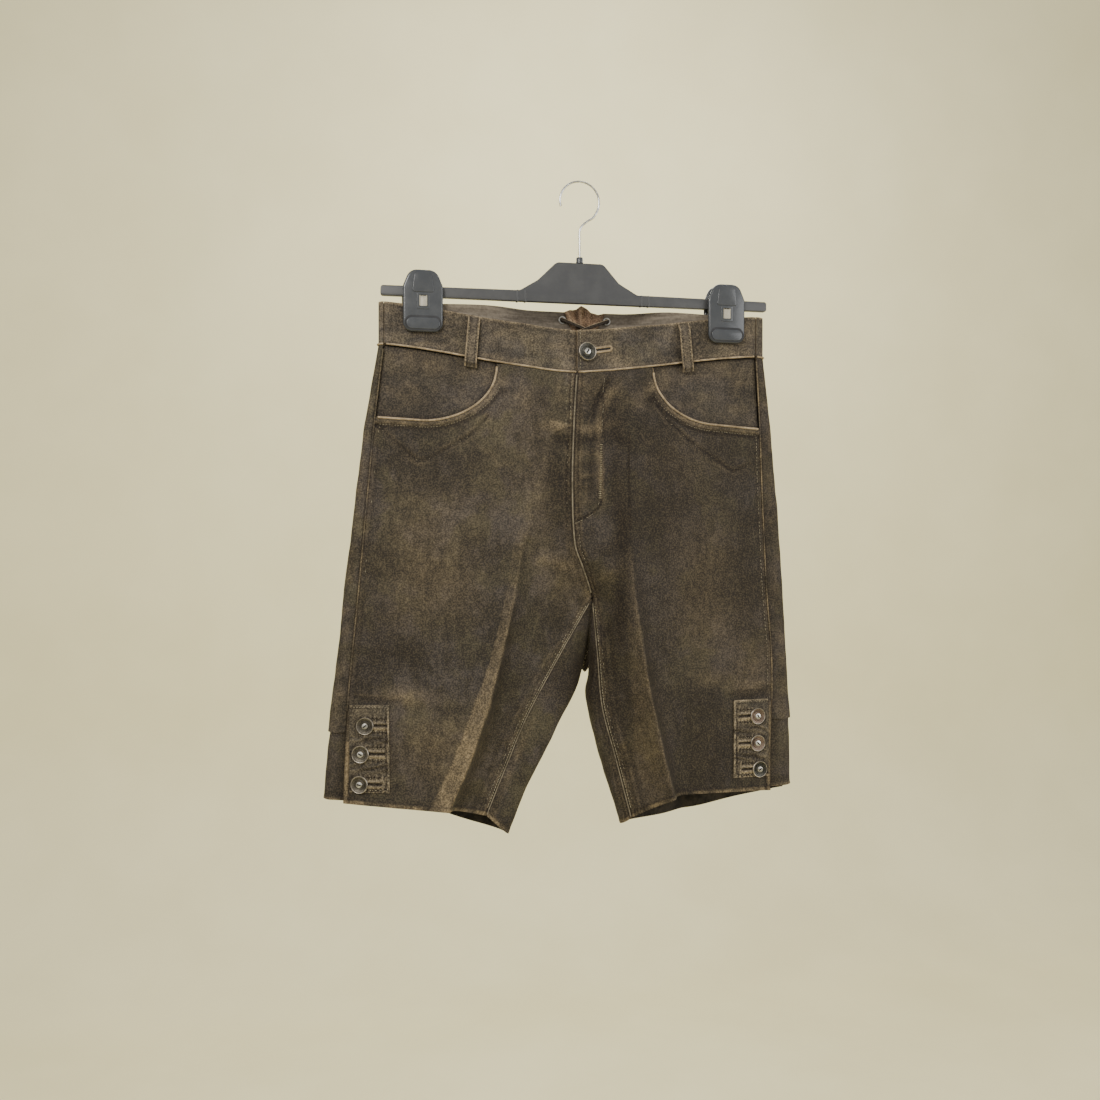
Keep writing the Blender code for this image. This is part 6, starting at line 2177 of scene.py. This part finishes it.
def build_bar():
    outline = rounded([(x, above(height), radius) for x, height, radius in BAR_CORNERS])
    pieces = [plate("bar_body", outline, -BAR_THICK / 2, BAR_THICK / 2, BAR_LOOK, 0.9)]
    for x, wide, proud in ((-66.5, 1.9, 0.5), (-58.2, 1.9, 0.5), (66.5, 1.7, 0.35), (74.5, 1.7, 0.35)):
        rib = box_corners(x, wide / 2, above(BAR_LOW - proud), above(BAR_HIGH + proud - 0.3), 0.6)
        half = BAR_THICK / 2 + proud
        pieces.append(plate("bar_rib", rounded(rib, 3), -half, half, BAR_LOOK, 0.4, 2))
    return declare(join(pieces, "bar"), "hanger_bar")


bar = build_bar()
print("bar", [round(x * 1000, 1) for x in bar.dimensions], "mm")

# %% [markdown]
# ## Plug and hook
#
# The hook is bare steel wire, pushed into a small plug in the bar's middle. The wire is a sweep along a
# straight shank and most of a circle, and the plug is turned.

# %% Plug and hook
WIRE = 1.1
HOOK_RADIUS = 21.0
PLUG_HIGH = 6.0


def build_hook():
    foot = above(HUMP) + SEAM_GAP
    profile = [(0, 0), (3.9, 0), (3.9, 0.8), (3.6, 1.2), (3.6, PLUG_HIGH - 1.0), (3.2, PLUG_HIGH - 0.2),
               (2.6, PLUG_HIGH), (0, PLUG_HIGH)]
    plug = turned("plug", profile, PLASTIC_LOOK, 32)
    stand(plug, (0, 0, foot * MM), (0, 0, 1))
    declare(plug, "hanger_plug")
    start = foot + PLUG_HIGH + SEAM_GAP
    centre_z = -(HOOK_RADIUS - WIRE)
    points = [(0, 0, start), (0, 0, start + 14), (0, 0, start + 27), (2.5, 0, start + 33),
              (8, 0, start + 38), (14.5, 0, start + 42.5)]
    for degrees in range(-28, 205, 14):
        a = math.radians(degrees)
        points.append((HOOK_RADIUS * math.cos(a), 0, centre_z + HOOK_RADIUS * math.sin(a)))
    path = curve_through([np.array(p) * MM for p in points], 150)
    flat = np.tile([0.0, -1.0, 0.0], (len(path), 1))
    hook = sweep("hook_wire", path, STEEL_LOOK, round_section(WIRE, 12), flat)
    declare(hook, "hanger_hook")
    return hook


hook = build_hook()
print("hook", [round(x * 1000, 1) for x in hook.dimensions], "mm")

# %% [markdown]
# ## Clips
#
# Each clip has two moulded jaws and a steel spring that straddles the bar. A jaw has a raised pad along its
# grip, a groove in an arc over the pad, painted as a dark strip of shade, a square window, and a narrower
# raised panel above, where a thumb presses.

# %% Jaws
CLIP_X = {"right": -164.6, "left": 159.5}
JAW_INNER = 4.85
JAW_THICK = 4.6
CLIP_DROP = 0.5


def pierce(obj, x, z, width, height):
    bpy.ops.mesh.primitive_cube_add(size=1, location=(x * MM, 0, z * MM))
    tool = bpy.context.object
    tool.scale = (width * MM, 0.06, height * MM)
    bpy.ops.object.transform_apply(location=False, rotation=False, scale=True)
    apply_modifier(obj, "BOOLEAN", operation="DIFFERENCE", solver="EXACT", object=tool)
    bpy.data.objects.remove(tool, do_unlink=True)


def build_jaw(side, name, sign):
    x, z = CLIP_X[side], WAIST_Z - CLIP_DROP
    corners = ((-20, -32, 9), (20, -32, 9), (20.5, 14, 9), (13.5, 31, 11), (-13.5, 31, 11), (-20.5, 14, 9))
    body = rounded([(x + a, z + b, r) for a, b, r in corners])
    near, far = sign * JAW_INNER, sign * (JAW_INNER + JAW_THICK)
    jaw = plate("jaw_body", body, near, far, PLASTIC_LOOK, 2.0)
    pierce(jaw, x, z - 0.7, 8.2, 11.6)
    panel = [(x - 11, z + 8, 2), (x + 11, z + 8, 2), (x + 9, z + 28.5, 5), (x - 9, z + 28.5, 5)]
    # the groove is a thin near-black plate on the jaw: painted shade, not a cut
    raised = (("jaw_groove_shade", box_corners(x, 18.8, z - 31, z - 15.6, 7.4), 0.05, GROOVE_SHADE_LOOK, 0),
              ("jaw_pad", box_corners(x, 17, z - 29.5, z - 17.8, 5.7), 0.8, PLASTIC_LOOK, 0.7),
              ("jaw_panel", panel, 0.7, PLASTIC_LOOK, 0.6),
              ("jaw_frame", box_corners(x, 6.6, z - 9.2, z + 7.6, 1.5), 0.45, PLASTIC_LOOK, 0.4))
    pieces = [plate(label, rounded(corners), far - sign * 0.5, far + sign * proud, look, edge)
              for label, corners, proud, look, edge in raised]
    pierce(pieces[-1], x, z - 0.7, 8.2, 11.6)
    whole = join([jaw] + pieces, f"jaw_{side}_{name}")
    return declare(whole, f"clip_{side}_{name}_jaw")


def build_spring(side):
    """A bent strip of steel over the bar, with a leg inside each jaw."""
    leg = BAR_THICK / 2 + 0.65
    half = [(8.2, -6.4), (8.2, -2.0), (8.2, 3.2), (7.0, 5.0), (leg + 0.4, 6.6), (leg, 8.0), (leg, 14.5),
            (leg - 1.2, 16.6), (0, 17.4)]
    points = half + [(-a, b) for a, b in half[-2::-1]]
    path = np.array([(CLIP_X[side], a, above(b)) for a, b in points]) * MM
    across = np.tile([1.0, 0.0, 0.0], (len(path), 1))
    piece = sweep(f"spring_{side}", path, SPRING_LOOK, flat_section(0.7, 7.8), across)
    return declare(piece, f"clip_{side}_spring")


for side in SIDES:
    for name, sign in (("front", -1), ("back", 1)):
        build_jaw(side, name, sign)
    build_spring(side)
print("clips:", len(CLIP_X))

# %% [markdown]
# ## Sizes
#
# Last, the boxes of the plain and the dressed model are printed, with the count of new triangles. Everything
# that is new hangs on the same single body, since a pair of breeches has no joints.

# %% Sizes
LOOK_LOW, LOOK_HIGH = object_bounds()
SIZES = {"cad": [list(CAD_LOW), list(CAD_HIGH)], "dressed": [list(LOOK_LOW), list(LOOK_HIGH)]}
for label, (low, high) in SIZES.items():
    print(label, [round((b - a) * 1000, 1) for a, b in zip(low, high)], "mm")
triangles = sum(len(p.vertices) - 2 for o in bpy.data.objects if o.type == "MESH" and "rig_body" in o
                for p in o.data.polygons)
print("new triangles:", triangles)
